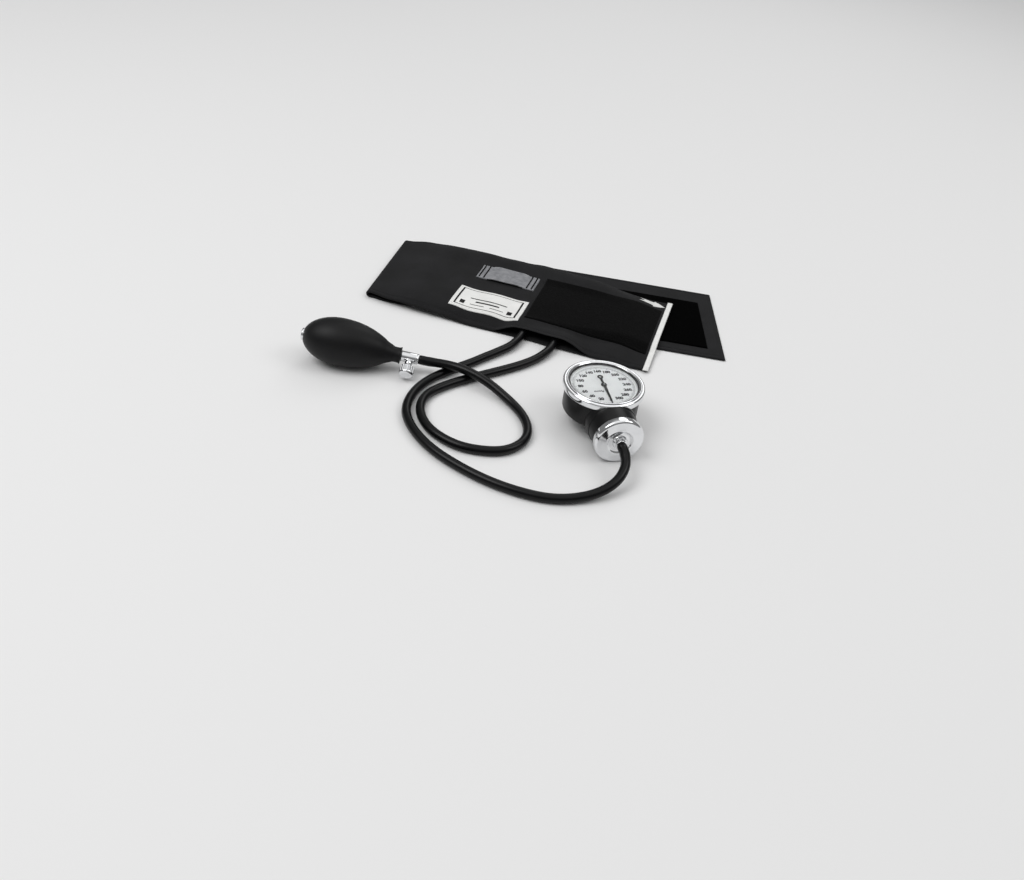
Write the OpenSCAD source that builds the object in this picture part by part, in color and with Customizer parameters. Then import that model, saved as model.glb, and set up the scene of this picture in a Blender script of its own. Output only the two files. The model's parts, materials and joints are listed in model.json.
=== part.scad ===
// Aneroid sphygmomanometer: folded nylon cuff, squeeze bulb with release valve, pocket gauge and two rubber tubes.
// Millimetres, +Z up. The origin lies on the underside of the folded cuff, under the middle of its upper leaf.

/* [Cuff] */
// Width of the cuff strip
cuff_w = 130; // [118:1:145]
// Length of the upper leaf along its rear edge
upper_len = 296; // [270:1:310]
// Length of the lower leaf along its rear edge, from the fold
lower_len = 340; // [320:1:360]
// Angle by which the fold is off square
fold_skew = 4.5; // [3:0.1:6]
// Angle by which the lower leaf's end is off square
end_skew = 6; // [0:0.5:8]
// Thickness of each cloth ply
ply_t = 1; // [0.8:0.1:1.4]
// Height of the fold from the table to its top
fold_h = 8; // [7.5:0.5:12]
// Thickness of the air left in the bladder
bladder_fill = 5; // [3:0.5:7]
// Thickness of the hook and loop panels
pile_t = 1.2; // [0.8:0.1:1.6]
// Length of the loop panel on the upper leaf
loop_len = 123; // [100:1:125]
// Width of the loop panel
loop_w = 84; // [70:1:90]
// Distance from the cuff's rear edge to the loop panel
loop_inset = 18; // [14:1:24]
// Length of the hook panel on the lower leaf
hook_len = 150; // [100:1:170]
// Distances from the hook panel to the leaf's end, rear edge and front edge
hook_border = 16; // [10:1:20]
hook_rear = 25; // [15:1:30]
hook_front = 15; // [10:1:20]
// Width of the white index tape
index_w = 6.5; // [5:0.5:9]
// Length of the webbing strap that holds the gauge
strap_len = 62; // [50:1:64]
// Width of the webbing strap
strap_w = 26; // [20:1:28]
// Distance from the cuff's rear edge to the strap
strap_inset = 28; // [20:1:32]
// Length of the sewn label
label_len = 72; // [55:1:74]
// Width of the sewn label
label_w = 40; // [30:1:42]
// Distance from the cuff's front edge to the label
label_inset = 12.5; // [10:0.5:20]

/* [Tubes] */
// Outside diameter of both rubber tubes
tube_d = 8; // [7:0.25:8]
// Number of sides of a tube
tube_sides = 12; // [8:1:12]

/* [Bulb] */
// Greatest radius of the bulb
bulb_r = 21.5; // [20:0.5:24]
// Length of the bulb from its tail to the end of its neck
bulb_len = 88; // [80:1:96]
// Wall of the bulb
bulb_wall = 2.4; // [2:0.1:3]
// Radius of the bulb's neck
neck_r = 6.8; // [6:0.1:8]
// Length of the bulb's neck
neck_len = 8; // [6:0.5:10]
// Direction of the bulb on the table
bulb_yaw = 14; // [10:1:18]

/* [Release valve] */
// Radius of the valve's barrel
barrel_r = 4.8; // [4.6:0.1:5.4]
// Length of the barrel between bulb and tube
barrel_len = 16; // [14:0.5:18]
// Radius of the knurled knob
knob_r = 6.5; // [6:0.25:7]
// Length of the knurled knob
knob_len = 11; // [9:0.5:12]
// Number of grooves in the knob's knurl
knob_grooves = 24; // [16:1:28]
// Angle by which the knob's axis dips below level
knob_dip = 22; // [16:1:24]
// Lead of the release screw in one turn
screw_lead = 0.6; // [0.4:0.1:0.8]

/* [Gauge] */
// Outside diameter of the bezel ring
bezel_d = 70; // [68:0.5:74]
// Height of the bezel ring
bezel_h = 7; // [6.6:0.1:8]
// Outside diameter of the case pan
pan_d = 64.6; // [64.4:0.2:65.6]
// Wall of the case pan
pan_wall = 2; // [1.6:0.1:2.2]
// Depth of the gauge from the bezel's front to the pan's back
gauge_depth = 29; // [28:0.5:30]
// Outside diameter of the drum that holds the capsule
drum_d = 40.4; // [39:0.2:41]
// Wall of the drum
drum_wall = 1.6; // [1.2:0.1:2]
// Distance from the dial's centre to the end of the drum
drum_reach = 52.4; // [51:0.2:55]
// Outside diameter of the end cap
cap_d = 42; // [42:0.2:43.6]
// Direction of the drum, turned from the front towards the right
gauge_turn = 30; // [26:1:34]
// Diameter of the dial
dial_d = 60.2; // [59.6:0.1:60.4]
// Thickness of the clear window
crystal_t = 1.8; // [1.4:0.1:2.2]
// Height of the ring between dial and window
dial_ring_h = 2.8; // [2.8:0.1:3.4]

/* [Movement] */
// Module of the gear teeth
gear_module = 0.35; // [0.33:0.01:0.36]
// Teeth of the pinion
pinion_teeth = 12; // [12:1:13]
// Teeth that the sector would have as a full wheel
sector_teeth = 108; // [104:1:110]
// Turn of the sector from zero to full scale
sector_sweep = 37.5; // [30:0.5:37.5]
// Backlash left between the teeth
backlash = 0.05; // [0.04:0.01:0.08]
// Length of the crank that the capsule pushes
crank_len = 3.4; // [3.2:0.1:3.8]
// Thickness of the brass plates
plate_t = 1.2; // [1:0.1:1.4]
// Room between the two plates
plate_gap = 4.4; // [4.2:0.1:4.8]
// Radius of the capsule
capsule_r = 17.2; // [15:0.2:17.4]
// Turns of the hairspring
hairspring_turns = 4; // [3:1:5]

/* [Hidden] */
$fn = 64;

// Clearances: between cloth pieces, between fitted rigid pieces, and round running shafts
cloth_gap = 0.3;
fit = 0.1;
run = 0.05;
eps = 0.01;

// Routes of the two tubes: the bulb's from the valve to the cuff, the gauge's from the cuff to the nipple
bulb_route = [
    [-43.5, -161, 13.5], [-33.5, -158.5, 12.5], [-21.5, -156, 12.5], [-9.5, -155.5, 12.5], [2.5, -157, 12.3],
    [14.5, -159.5, 11], [27, -163, 8.5], [39, -168.5, 6], [51.5, -176, 4.3], [63, -187, 4], [71.5, -200.5, 4],
    [75, -215.5, 4], [71.5, -229.5, 4], [62, -241, 4], [47, -247.5, 4], [30, -250, 4], [13, -246.5, 4],
    [-2.5, -238.5, 4], [-15, -225, 4], [-21.5, -209, 4], [-21, -192, 4], [-12.5, -175.5, 4], [-1.5, -160, 4],
    [12, -144.5, 4], [24.5, -130, 4], [37, -114.5, 4], [47.5, -98.5, 4.2], [54, -83, 5], [56, -71, 5.5],
    [56, -62, 5.7], [56, -54, 6.2]
];
gauge_route = [
    [24, -54, 6.2], [24, -62, 5.7], [23.5, -72, 5.5], [21, -85.5, 5], [13.5, -99.5, 4.2], [5, -114, 4],
    [-3.5, -129.5, 4], [-13, -144.5, 4], [-22.5, -160, 4], [-29.5, -176.5, 4], [-33, -193.5, 4],
    [-32.5, -210.5, 4], [-28, -226.5, 4], [-18, -241, 4], [-4.5, -253.5, 4], [11.5, -264, 4], [30, -272, 4],
    [50.5, -278.5, 4], [71.5, -282.5, 4], [92.5, -283.5, 4], [113.5, -281, 4], [132, -273, 4.5],
    [147.5, -261.5, 6.5], [158, -248, 10.5], [161.5, -234, 15.5], [158.5, -222.5, 19.5], [153, -213.5, 21]
];
bulb_tube_end = bulb_route[len(bulb_route) - 1];
gauge_tube_start = gauge_route[0];
gauge_tube_end = gauge_route[len(gauge_route) - 1];
tube_r = tube_d / 2;

function smooth(u) = let (c = min(max(u, 0), 1)) c * c * (3 - 2 * c);
function mix(a, b, u) = a + (b - a) * u;
function unit(v) = v / norm(v);

// Values of a list in rising order, each once, and those between two limits with the limits themselves
function sorted(list) =
    len(list) < 1 ? [] : let (
        pivot = list[floor(len(list) / 2)],
        low = [for (x = list) if (x < pivot - eps) x],
        high = [for (x = list) if (x > pivot + eps) x]
    )
    concat(sorted(low), [pivot], sorted(high));
function lines_between(list, low, high) =
    concat([low], [for (x = list) if (x > low + 2 * eps && x < high - 2 * eps) x], [high]);

// Cuff geometry. The strip is unrolled in the plane of its upper leaf and wrapped round the skewed fold.
index_x = upper_len / 2 + 2;
fold_x = index_x - upper_len;
half_w = cuff_w / 2;
outer_r = (fold_h - ply_t) / 2;
inner_r = outer_r - ply_t - cloth_gap;
outer_low_z = ply_t / 2;
inner_low_z = outer_low_z + ply_t + cloth_gap;
hook_z = inner_low_z + ply_t / 2 + cloth_gap / 2;
rest_on_leaf_z = hook_z + pile_t + cloth_gap + ply_t / 2;
rest_on_floor_z = cloth_gap + ply_t / 2;
inner_top_z = inner_low_z + 2 * inner_r;
fold_run = 110;
mouth_x = [bulb_tube_end.x, gauge_tube_start.x];
mouth_ramp = 26;
mouth_lip = 3;
mouth_room = tube_d + 3 * cloth_gap;
spigot_r = 2.9;

// Distance from the fold line and along it, for a point of the unrolled strip
function fold_d(x, y) = (x - fold_x) * cos(fold_skew) + (y - half_w) * sin(fold_skew);
function fold_q(x, y) = (x - fold_x) * sin(fold_skew) - (y - half_w) * cos(fold_skew);
function from_fold(h, q, z) = [
    fold_x + h * cos(fold_skew) + q * sin(fold_skew),
    half_w + h * sin(fold_skew) - q * cos(fold_skew),
    z
];
function lower_front_y(x) = -half_w + (x - fold_x - cuff_w * tan(fold_skew)) * tan(2 * fold_skew);

// Hump over the two tubes along the cuff's front edge
function mouth_along(x) =
    smooth((x - mouth_x[1] + tube_r + 3 + mouth_ramp) / mouth_ramp)
    * smooth((mouth_x[0] + tube_r + 3 + mouth_ramp - x) / mouth_ramp);
function mouth_across(y) = smooth((-half_w + 29 - y) / 14);

// Room between the two plies of the upper leaf: sewn edges, bladder and tube mouth
function pad(x, y) =
    let (
        d = fold_d(x, y),
        across = 1 - pow(abs(y) / half_w, 4),
        along = smooth((d - 8) / 40) * smooth((index_x - 4 - x) / 34),
        air = bladder_fill * max(across, 0) * along,
        mouth = (mouth_room - cloth_gap) * mouth_along(x) * mouth_across(y)
    )
    cloth_gap + pow(pow(air, 3) + pow(mouth, 3), 1 / 3);

// Middle surfaces of the inner and outer plies on the upper leaf
function inner_z(x, y) =
    let (
        off_leaf = smooth((lower_front_y(x) - 1 - y) / 16),
        flat_z = mix(rest_on_leaf_z, rest_on_floor_z, off_leaf)
    )
    mix(inner_top_z, flat_z, smooth(fold_d(x, y) / fold_run));
function outer_z(x, y) = inner_z(x, y) + ply_t + pad(x, y);

// A point of a wrapped ply; off moves it outwards from the ply's middle surface
function ply_point(s, v, off, r, low_z, outer) =
    let (
        x = index_x - s,
        y = half_w - v,
        d = fold_d(x, y),
        q = fold_q(x, y),
        a = -d / r * 180 / PI,
        lip = outer ? 0 : mouth_lip * mouth_along(x) * pow(v / cuff_w, 12)
    )
    d >= 0
        ? [x, y - lip, (outer ? outer_z(x, y) : inner_z(x, y)) + off]
        : a < 180
            ? from_fold(-(r + off) * sin(a), q, low_z + r + (r + off) * cos(a))
            : from_fold(-d - PI * r, q, low_z - off);

// Boxes of the patches on the unrolled strip: from the index end, then from the rear edge
index_box = [0, index_w, 0, cuff_w];
loop_box = [index_w + 1.5, index_w + 1.5 + loop_len, loop_inset, loop_inset + loop_w];
label_box = [loop_box[1] + 3.5, loop_box[1] + 3.5 + label_len, cuff_w - label_inset - label_w, cuff_w - label_inset];
strap_box = [loop_box[1] + 6.5, loop_box[1] + 6.5 + strap_len, strap_inset, strap_inset + strap_w];
bag_inset = [28, 38, 13, 15];
bladder_box = [bag_inset[0], upper_len - bag_inset[1], bag_inset[2], cuff_w - bag_inset[3]];
strap_stitch = 8;
strap_ramp = 6;

// Grid lines of the strip, shared by all its layers so that their facets stay apart evenly
strip_len = upper_len + lower_len;
mouth_lines = [index_x - mouth_x[0] - tube_r - 3 - mouth_ramp, index_x - mouth_x[1] + tube_r + 3 + mouth_ramp];
strap_lines = [strap_stitch, strap_stitch + strap_ramp];
strip_s = sorted(concat(
    [for (share = [0, 0.07, 0.11, 0.15, 0.19, 0.37]) share * upper_len],
    [(2 * strap_box[0] + strap_box[1]) / 3, mouth_lines[1], index_box[1], loop_box[0], loop_box[1]],
    [label_box[0], label_box[1], strap_box[0], strap_box[1]],
    [for (k = [0 : 4]) mouth_lines[0] + k * mouth_ramp / 4],
    [for (off = strap_lines) each [strap_box[0] + off, strap_box[1] - off]],
    [for (k = [1 : 5]) mix(label_box[1], upper_len - 8, k / 5)]
));
strip_v = sorted(concat(
    [for (share = [0, 0.03, 0.65, 0.83, 0.94, 1]) share * cuff_w],
    [cuff_w - bag_inset[3]],
    [loop_box[2], loop_box[3], label_box[2], label_box[3], strap_box[2], (strap_box[2] + strap_box[3]) / 2, strap_box[3]]
));

// Rows across a ply of the given fold radius, each with its place and its share of the fold's slant
function ply_rows(r) = concat(
    [for (s = strip_s) [s, smooth((s - label_box[1]) / 65)]],
    [for (k = [0 : 8]) [upper_len + k * PI * r / 8 / cos(fold_skew), 1]],
    [for (k = [1 : 4]) [
        mix(upper_len + PI * r / cos(fold_skew), strip_len, k / 4),
        mix(1, -tan(end_skew) / tan(fold_skew), k / 4)
    ]]
);
function row_s(row, v) = row[0] - v * tan(fold_skew) * row[1];

// Closed solid between two grids of points, the first seen from outside
module closed_sheet(top, bottom) {
    nu = len(top);
    nv = len(top[0]);
    points = concat([for (row = top) each row], [for (row = bottom) each row]);
    function id(k, i, j) = k * nu * nv + i * nv + j;
    skin = [for (i = [0 : nu - 2], j = [0 : nv - 2]) each [
        [id(0, i, j), id(0, i + 1, j + 1), id(0, i + 1, j)],
        [id(0, i, j), id(0, i, j + 1), id(0, i + 1, j + 1)],
        [id(1, i, j), id(1, i + 1, j), id(1, i + 1, j + 1)],
        [id(1, i, j), id(1, i + 1, j + 1), id(1, i, j + 1)]
    ]];
    sides = [for (i = [0 : nu - 2]) each [
        [id(0, i, 0), id(1, i + 1, 0), id(1, i, 0)],
        [id(0, i, 0), id(0, i + 1, 0), id(1, i + 1, 0)],
        [id(0, i, nv - 1), id(1, i, nv - 1), id(1, i + 1, nv - 1)],
        [id(0, i, nv - 1), id(1, i + 1, nv - 1), id(0, i + 1, nv - 1)]
    ]];
    ends = [for (j = [0 : nv - 2]) each [
        [id(0, 0, j), id(1, 0, j), id(1, 0, j + 1)],
        [id(0, 0, j), id(1, 0, j + 1), id(0, 0, j + 1)],
        [id(0, nu - 1, j), id(1, nu - 1, j + 1), id(1, nu - 1, j)],
        [id(0, nu - 1, j), id(0, nu - 1, j + 1), id(1, nu - 1, j + 1)]
    ]];
    polyhedron(points = points, faces = concat(skin, sides, ends), convexity = 6);
}

module wrapped_ply(r, low_z, outer) {
    rows = ply_rows(r);
    closed_sheet(
        [for (row = rows) [for (v = strip_v) ply_point(row_s(row, v), v, ply_t / 2, r, low_z, outer)]],
        [for (row = rows) [for (v = strip_v) ply_point(row_s(row, v), v, -ply_t / 2, r, low_z, outer)]]
    );
}

// A patch sewn on the upper leaf; loft lifts it off the cloth between its stitched ends
module sewn_patch(box, thick, loft = 0) {
    rows = lines_between(strip_s, box[0], box[1]);
    cols = lines_between(strip_v, box[2], box[3]);
    function up(s) = loft * smooth((min(s - box[0], box[1] - s) - strap_stitch) / strap_ramp);
    function patch_point(s, v, z) =
        let (x = index_x - s, y = half_w - v)
        [x, y, outer_z(x, y) + ply_t / 2 + cloth_gap + up(s) + z];
    closed_sheet(
        [for (s = rows) [for (v = cols) patch_point(s, v, thick)]],
        [for (s = rows) [for (v = cols) patch_point(s, v, 0)]]
    );
}

module cuff_outer_cloth() {
    color("#1d1e21") wrapped_ply(outer_r, outer_low_z, true);
}

module cuff_inner_cloth() {
    color("#191a1c") wrapped_ply(inner_r, inner_low_z, false);
}

// Flat rubber bag with thin welded rims and one spigot for each tube
module bladder() {
    rim_t = 1.2;
    rows = lines_between(strip_s, bladder_box[0], bladder_box[1]);
    cols = lines_between(strip_v, bladder_box[2], bladder_box[3]);
    function bag_point(s, v, side) =
        let (
            x = index_x - row_s([s, smooth((s - label_box[1]) / 65)], v),
            y = half_w - v,
            room = pad(x, y),
            middle = inner_z(x, y) + ply_t / 2 + room / 2,
            edge = smooth(min(s - bladder_box[0], bladder_box[1] - s) / 20)
                * smooth(min(v - bladder_box[2], bladder_box[3] - v) / 16)
        )
        [x, y, middle + side * mix(min(rim_t, room - 2 * cloth_gap) / 2, room / 2 - cloth_gap, edge)];
    color("#232325") {
        closed_sheet(
            [for (s = rows) [for (v = cols) bag_point(s, v, 1)]],
            [for (s = rows) [for (v = cols) bag_point(s, v, -1)]]
        );
        for (end = [bulb_tube_end, gauge_tube_start])
            translate(end) rotate([-90, 0, 0]) cylinder(r = spigot_r, h = bag_inset[3] + 0.5 - half_w - end.y);
    }
}

module loop_panel() {
    color("#101012") sewn_patch(loop_box, pile_t);
}

module hook_panel() {
    far = lower_len - hook_border;
    slant = tan(end_skew);
    color("#0c0c0d")
        translate([fold_x - PI * inner_r * cos(fold_skew), half_w - PI * inner_r * sin(fold_skew), hook_z])
        rotate([0, 0, 2 * fold_skew])
        linear_extrude(pile_t)
            polygon([
                [far - hook_len, hook_front - cuff_w], [far + (cuff_w - hook_front) * slant, hook_front - cuff_w],
                [far + hook_rear * slant, -hook_rear], [far - hook_len, -hook_rear]
            ]);
}

module index_tape() {
    color("#e8e8e6") sewn_patch(index_box, ply_t * 0.8);
}

module gauge_strap() {
    color("#a9abad") sewn_patch(strap_box, 1.2, 2.2);
}

module label_patch() {
    color("#e9e9e7") sewn_patch(label_box, 0.5);
}

// Round tube through the points of a route, one ring at each point
module tube(route, r, sides) {
    last = len(route) - 1;
    rings = [for (i = [0 : last])
        let (
            along = unit(route[min(i + 1, last)] - route[max(i - 1, 0)]),
            across = unit(cross(along, [0, 0, 1])),
            over = cross(across, along)
        )
        [for (k = [0 : sides - 1])
            let (a = k * 360 / sides) route[i] + r * (cos(a) * across + sin(a) * over)]
    ];
    walls = [for (i = [0 : last - 1], k = [0 : sides - 1])
        let (n = (k + 1) % sides, a = i * sides + k, b = i * sides + n, c = a + sides, d = b + sides)
        each [[a, b, d], [a, d, c]]];
    polyhedron(
        points = [for (ring = rings) each ring],
        faces = concat(
            walls, [[for (k = [0 : sides - 1]) sides - 1 - k]], [[for (k = [0 : sides - 1]) last * sides + k]]
        ),
        convexity = 8
    );
}

module bulb_tube() {
    color("#141415") tube(bulb_route, tube_r, tube_sides);
}

module gauge_tube() {
    color("#141415") tube(gauge_route, tube_r, tube_sides);
}

// Bulb and release valve, along +X from the bulb's tail to the tube, origin at the barrel's tube end
bulb_flat = 0.5;
neck_x = -barrel_len;
tail_x = neck_x - bulb_len;
tail_rise = 0.386 * bulb_len;
wide_x = tail_x + tail_rise;
bulb_pitch = asin((bulb_r + 0.2 - bulb_flat - bulb_route[0].z) / -wide_x);
stem_r = 3.9;
stem_len = 11;
socket_r = 4.6;
inlet_len = 12;

module at_valve() {
    translate(bulb_route[0]) rotate([0, bulb_pitch, bulb_yaw]) children();
}

// Outline of the bulb: an ellipse at the tail and a lean curve to the neck
function bulb_outline(shrink) = concat(
    [for (k = [0 : 12])
        let (a = 17 + k * 73 / 12) [wide_x - (tail_rise - shrink * 0.3) * cos(a), (bulb_r - shrink) * sin(a)]],
    [for (k = [1 : 12])
        let (u = k / 12)
        [mix(wide_x, neck_x - neck_len, u), neck_r - shrink + (bulb_r - neck_r) * (1 - pow(u, 2.2))]]
);

module bulb_shell() {
    outer = bulb_outline(0);
    inner = bulb_outline(bulb_wall);
    tail = outer[0];
    color("#17171a") difference() {
        at_valve() rotate([0, 90, 0]) rotate([0, 0, 180]) difference() {
            rotate_extrude($fn = 72) polygon([for (p = concat([[tail.x, 0]], outer, [[neck_x, neck_r], [neck_x, 0]])) [p.y, p.x]]);
            rotate_extrude($fn = 72) polygon([for (p = concat([[inner[0].x + 4, 0]], inner, [[inner[24].x, 0]])) [p.y, p.x]]);
            translate([0, 0, neck_x - neck_len - 8]) cylinder(r = stem_r, h = neck_len + 9);
            translate([0, 0, tail.x - 1]) cylinder(r = socket_r, h = 14);
        }
        translate([-220, -260, -20]) cube([200, 200, 20]);
    }
}

// End valve: chrome plug with a flange, an air hole, a ball seat and a chamber
inlet_hole_r = 1.3;
ball_r = 2;
ball_travel = 1;
inlet_seat_x = tail_x + 3.5;
ball_x = inlet_seat_x + sqrt(ball_r * ball_r - inlet_hole_r * inlet_hole_r) + run;

module inlet_body() {
    face_x = tail_x + 0.5;
    color("#d9dadc") at_valve() rotate([0, 90, 0]) difference() {
        union() {
            translate([0, 0, face_x - 1.6]) cylinder(r1 = 4.6, r2 = 5.4, h = 0.8);
            translate([0, 0, face_x - 0.8]) cylinder(r = 5.4, h = 1.8);
            translate([0, 0, face_x]) cylinder(r = socket_r, h = inlet_len);
        }
        translate([0, 0, face_x - 3]) cylinder(r = inlet_hole_r, h = 20);
        translate([0, 0, inlet_seat_x]) cylinder(r = ball_r + 0.3, h = 20);
    }
}

module inlet_ball() {
    color("#c8cacc") at_valve() translate([ball_x, 0, 0]) sphere(r = ball_r, $fn = 48);
}

module inlet_retainer() {
    color("#c9a64b") at_valve() rotate([0, 90, 0])
        translate([0, 0, ball_x + ball_r + ball_travel + run]) difference() {
            cylinder(r = ball_r + 0.3, h = 1.4);
            for (a = [0 : 90 : 270])
                rotate([0, 0, a]) translate([1.3, 0, -1]) cylinder(r = 0.45, h = 4);
        }
}

// Release valve: barrel with a stem for the bulb, a barb for the tube and a side boss for the screw
air_r = 1.4;
barb_len = 13;
boss_x = -barrel_len / 2;
boss_r = 3.4;
boss_end = barrel_r + 3.2;
screw_r = 1.8;
seat_depth = 2.2;
disc_chamber_x = neck_x - stem_len;
disc_r = 2.3;
disc_t = 0.6;
disc_travel = 0.8;
retainer_t = 1.4;

// Frame of the release screw: +Z runs out along the knob's axis
module at_screw() {
    at_valve() translate([boss_x, 0, 0]) rotate([90 + knob_dip, 0, 0]) children();
}

module valve_body() {
    color("#dcdee0") {
        difference() {
            union() {
                at_valve() rotate([0, 90, 0]) {
                    translate([0, 0, neck_x]) cylinder(r = barrel_r, h = barrel_len);
                    translate([0, 0, neck_x - stem_len]) cylinder(r = stem_r, h = stem_len + 1);
                    cylinder(r = 2.2, h = barb_len);
                    for (k = [0 : 2])
                        translate([0, 0, 2.5 + 3.6 * k]) cylinder(r1 = 2.9, r2 = 2.2, h = 3);
                }
                at_screw() cylinder(r = boss_r, h = boss_end);
            }
            at_valve() rotate([0, 90, 0]) {
                translate([0, 0, neck_x - stem_len - 1]) cylinder(r = air_r, h = 80);
                translate([0, 0, disc_chamber_x - 1])
                    cylinder(r = disc_r + 0.3, h = 1 + retainer_t + disc_t + disc_travel + 2 * run);
            }
            at_screw() {
                translate([0, 0, seat_depth]) cylinder(r = screw_r + run, h = 20);
                cylinder(r = 0.8, h = 10);
            }
        }
    }
}

module valve_washer() {
    color("#1c1c1d") at_screw() translate([0, 0, boss_end]) difference() {
        cylinder(r = boss_r - 0.3, h = 0.6);
        translate([0, 0, -1]) cylinder(r = screw_r + run, h = 3);
    }
}

// Knurled thumbscrew; its stem carries the needle in a blind bore
needle_r = 0.9;
stem_start = seat_depth + 2.6;
knob_base = boss_end + 0.6 + run;

module release_screw() {
    color("#d6d8da") at_screw() difference() {
        union() {
            translate([0, 0, stem_start]) cylinder(r = screw_r, h = knob_base - stem_start + 1);
            translate([0, 0, knob_base]) cylinder(r1 = 3.6, r2 = 3.6, h = 1.6);
            translate([0, 0, knob_base + 1.5]) cylinder(r1 = 4.2, r2 = knob_r, h = 1.4);
            translate([0, 0, knob_base + 2.9]) difference() {
                cylinder(r = knob_r, h = knob_len - 4.2);
                for (k = [0 : knob_grooves - 1])
                    rotate([0, 0, k * 360 / knob_grooves])
                        translate([knob_r + 0.25, 0, 0.9]) cylinder(r = 0.7, h = knob_len, $fn = 16);
            }
            translate([0, 0, knob_base + knob_len - 1.31]) cylinder(r1 = knob_r - 0.6, r2 = knob_r - 1.6, h = 1.3);
        }
        translate([0, 0, stem_start - 1]) cylinder(r = needle_r + run, h = 4);
    }
}

module valve_needle() {
    color("#b9bbbd") at_screw() {
        translate([0, 0, seat_depth + 1.2]) cylinder(r = needle_r, h = stem_start + 3 - run - seat_depth - 1.2);
        translate([0, 0, seat_depth + run]) cylinder(r1 = 0.85, r2 = needle_r, h = 1.15);
    }
}

module outlet_disc() {
    color("#202022") at_valve() rotate([0, 90, 0])
        translate([0, 0, disc_chamber_x + retainer_t + run]) cylinder(r = disc_r, h = disc_t);
}

module outlet_retainer() {
    color("#c9a64b") at_valve() rotate([0, 90, 0]) translate([0, 0, disc_chamber_x]) difference() {
        cylinder(r = disc_r + 0.3, h = retainer_t);
        translate([0, 0, -1]) cylinder(r = 1.1, h = 4);
    }
}

// Gauge: origin on the table under the dial's centre, +Y to 12 o'clock, drum along -Y
axis_z = cap_d / 2;
front_z = axis_z + drum_d / 2 + 1.7;
back_z = front_z - gauge_depth;
bezel_r = bezel_d / 2;
pan_r = pan_d / 2;
pan_inner_r = pan_r - pan_wall;
dial_r = dial_d / 2;
crystal_top_z = front_z - 1.4;
crystal_z = crystal_top_z - crystal_t;
gasket_t = 0.7;
dial_ring_top_z = crystal_z - gasket_t;
dial_top_z = dial_ring_top_z - dial_ring_h;
dial_t = 0.5;
dial_z = dial_top_z - dial_t;
pan_top_z = crystal_z - 1;
ledge_h = 2;
drum_r = drum_d / 2;
drum_inner_r = drum_r - drum_wall;
cap_gasket_t = 0.8;
cap_inner_y = -drum_reach - cap_gasket_t;
cap_t = 2.5;
collar_len = 2;
nipple_face_y = cap_inner_y - cap_t - 2 - collar_len;
gauge_at = gauge_tube_end + [nipple_face_y * sin(gauge_turn), -nipple_face_y * cos(gauge_turn), 0];
pin_hole_r = 5;

module at_gauge() {
    translate([gauge_at.x, gauge_at.y, 0]) rotate([0, 0, gauge_turn]) children();
}

// Everything along the drum is drawn upwards and laid along -Y at the drum's height
module at_drum() {
    at_gauge() translate([0, 0, axis_z]) rotate([90, 0, 0]) children();
}

module ring(r_out, r_in, h) {
    difference() {
        cylinder(r = r_out, h = h, $fn = 96);
        translate([0, 0, -1]) cylinder(r = r_in, h = h + 2, $fn = 96);
    }
}

module case_pan() {
    round_r = 3;
    wall = [
        for (a = [-90 : 15 : 0]) [pan_r - round_r + round_r * cos(a), back_z + round_r + round_r * sin(a)],
        [pan_r, pan_top_z], [pan_inner_r, pan_top_z], [pan_inner_r, dial_z],
        [pan_inner_r - 1.4, dial_z], [pan_inner_r - 1.4, dial_z - ledge_h + 0.6], [pan_inner_r, dial_z - ledge_h - 0.8],
        [pan_inner_r, back_z + pan_wall + 1], [pan_inner_r - 1, back_z + pan_wall], [0, back_z + pan_wall], [0, back_z]
    ];
    color("#1b1b1d") at_gauge() difference() {
        union() {
            rotate_extrude($fn = 96) polygon(wall);
            translate([sector_at.x, sector_at.y, back_z + pan_wall - eps]) cylinder(r = 2.4, h = boss_h + eps);
        }
        translate([0, 0, axis_z]) rotate([90, 0, 0]) cylinder(r = pin_hole_r, h = pan_d);
        translate([sector_at.x, sector_at.y, back_z + pan_wall + boss_h - 1.6]) cylinder(r = pivot_r + run, h = 5);
        for (x = [-1, 1])
            translate([x * rivet_x, clip_foot_y, back_z - 1]) cylinder(r = rivet_r + run, h = pan_wall + 3);
    }
}

// Double ring of the bezel: an outer band, a groove and a raised inner lip over the window
module bezel_ring() {
    skirt_r = pan_r + fit;
    bore_r = pan_inner_r;
    lip_r = dial_r - 1.6;
    low_z = front_z - bezel_h;
    profile = [
        [skirt_r, low_z], [bezel_r - 0.7, low_z], [bezel_r, low_z + 0.7],
        for (a = [0 : 18 : 90]) [bezel_r - 1.6 + 1.6 * cos(a), front_z - 2.9 + 1.6 * sin(a)],
        [bezel_r - 2.6, front_z - 1.5], [bezel_r - 3, front_z - 1.1],
        for (a = [140 : -20 : 60]) [bezel_r - 4 + 1.1 * cos(180 - a), front_z - 1.1 + 1.1 * sin(a)],
        [lip_r, crystal_top_z], [bore_r, crystal_top_z], [bore_r, pan_top_z + 0.2], [skirt_r, pan_top_z + 0.2]
    ];
    color("#d7d9dc") at_gauge() rotate_extrude($fn = 96) polygon(profile);
}

module crystal() {
    color("#dfe8ec", 0.4) at_gauge() translate([0, 0, crystal_z]) cylinder(r = dial_r, h = crystal_t, $fn = 96);
}

module crystal_gasket() {
    color("#2a2a2b") at_gauge() translate([0, 0, dial_ring_top_z]) ring(dial_r, dial_r - 1.4, gasket_t);
}

module dial_ring() {
    profile = [
        [dial_r, dial_top_z], [dial_r, dial_ring_top_z], [dial_r - 1.4, dial_ring_top_z], [dial_r - 2.2, dial_top_z]
    ];
    color("#e4e5e6") at_gauge() rotate_extrude($fn = 96) polygon(profile);
}

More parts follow.
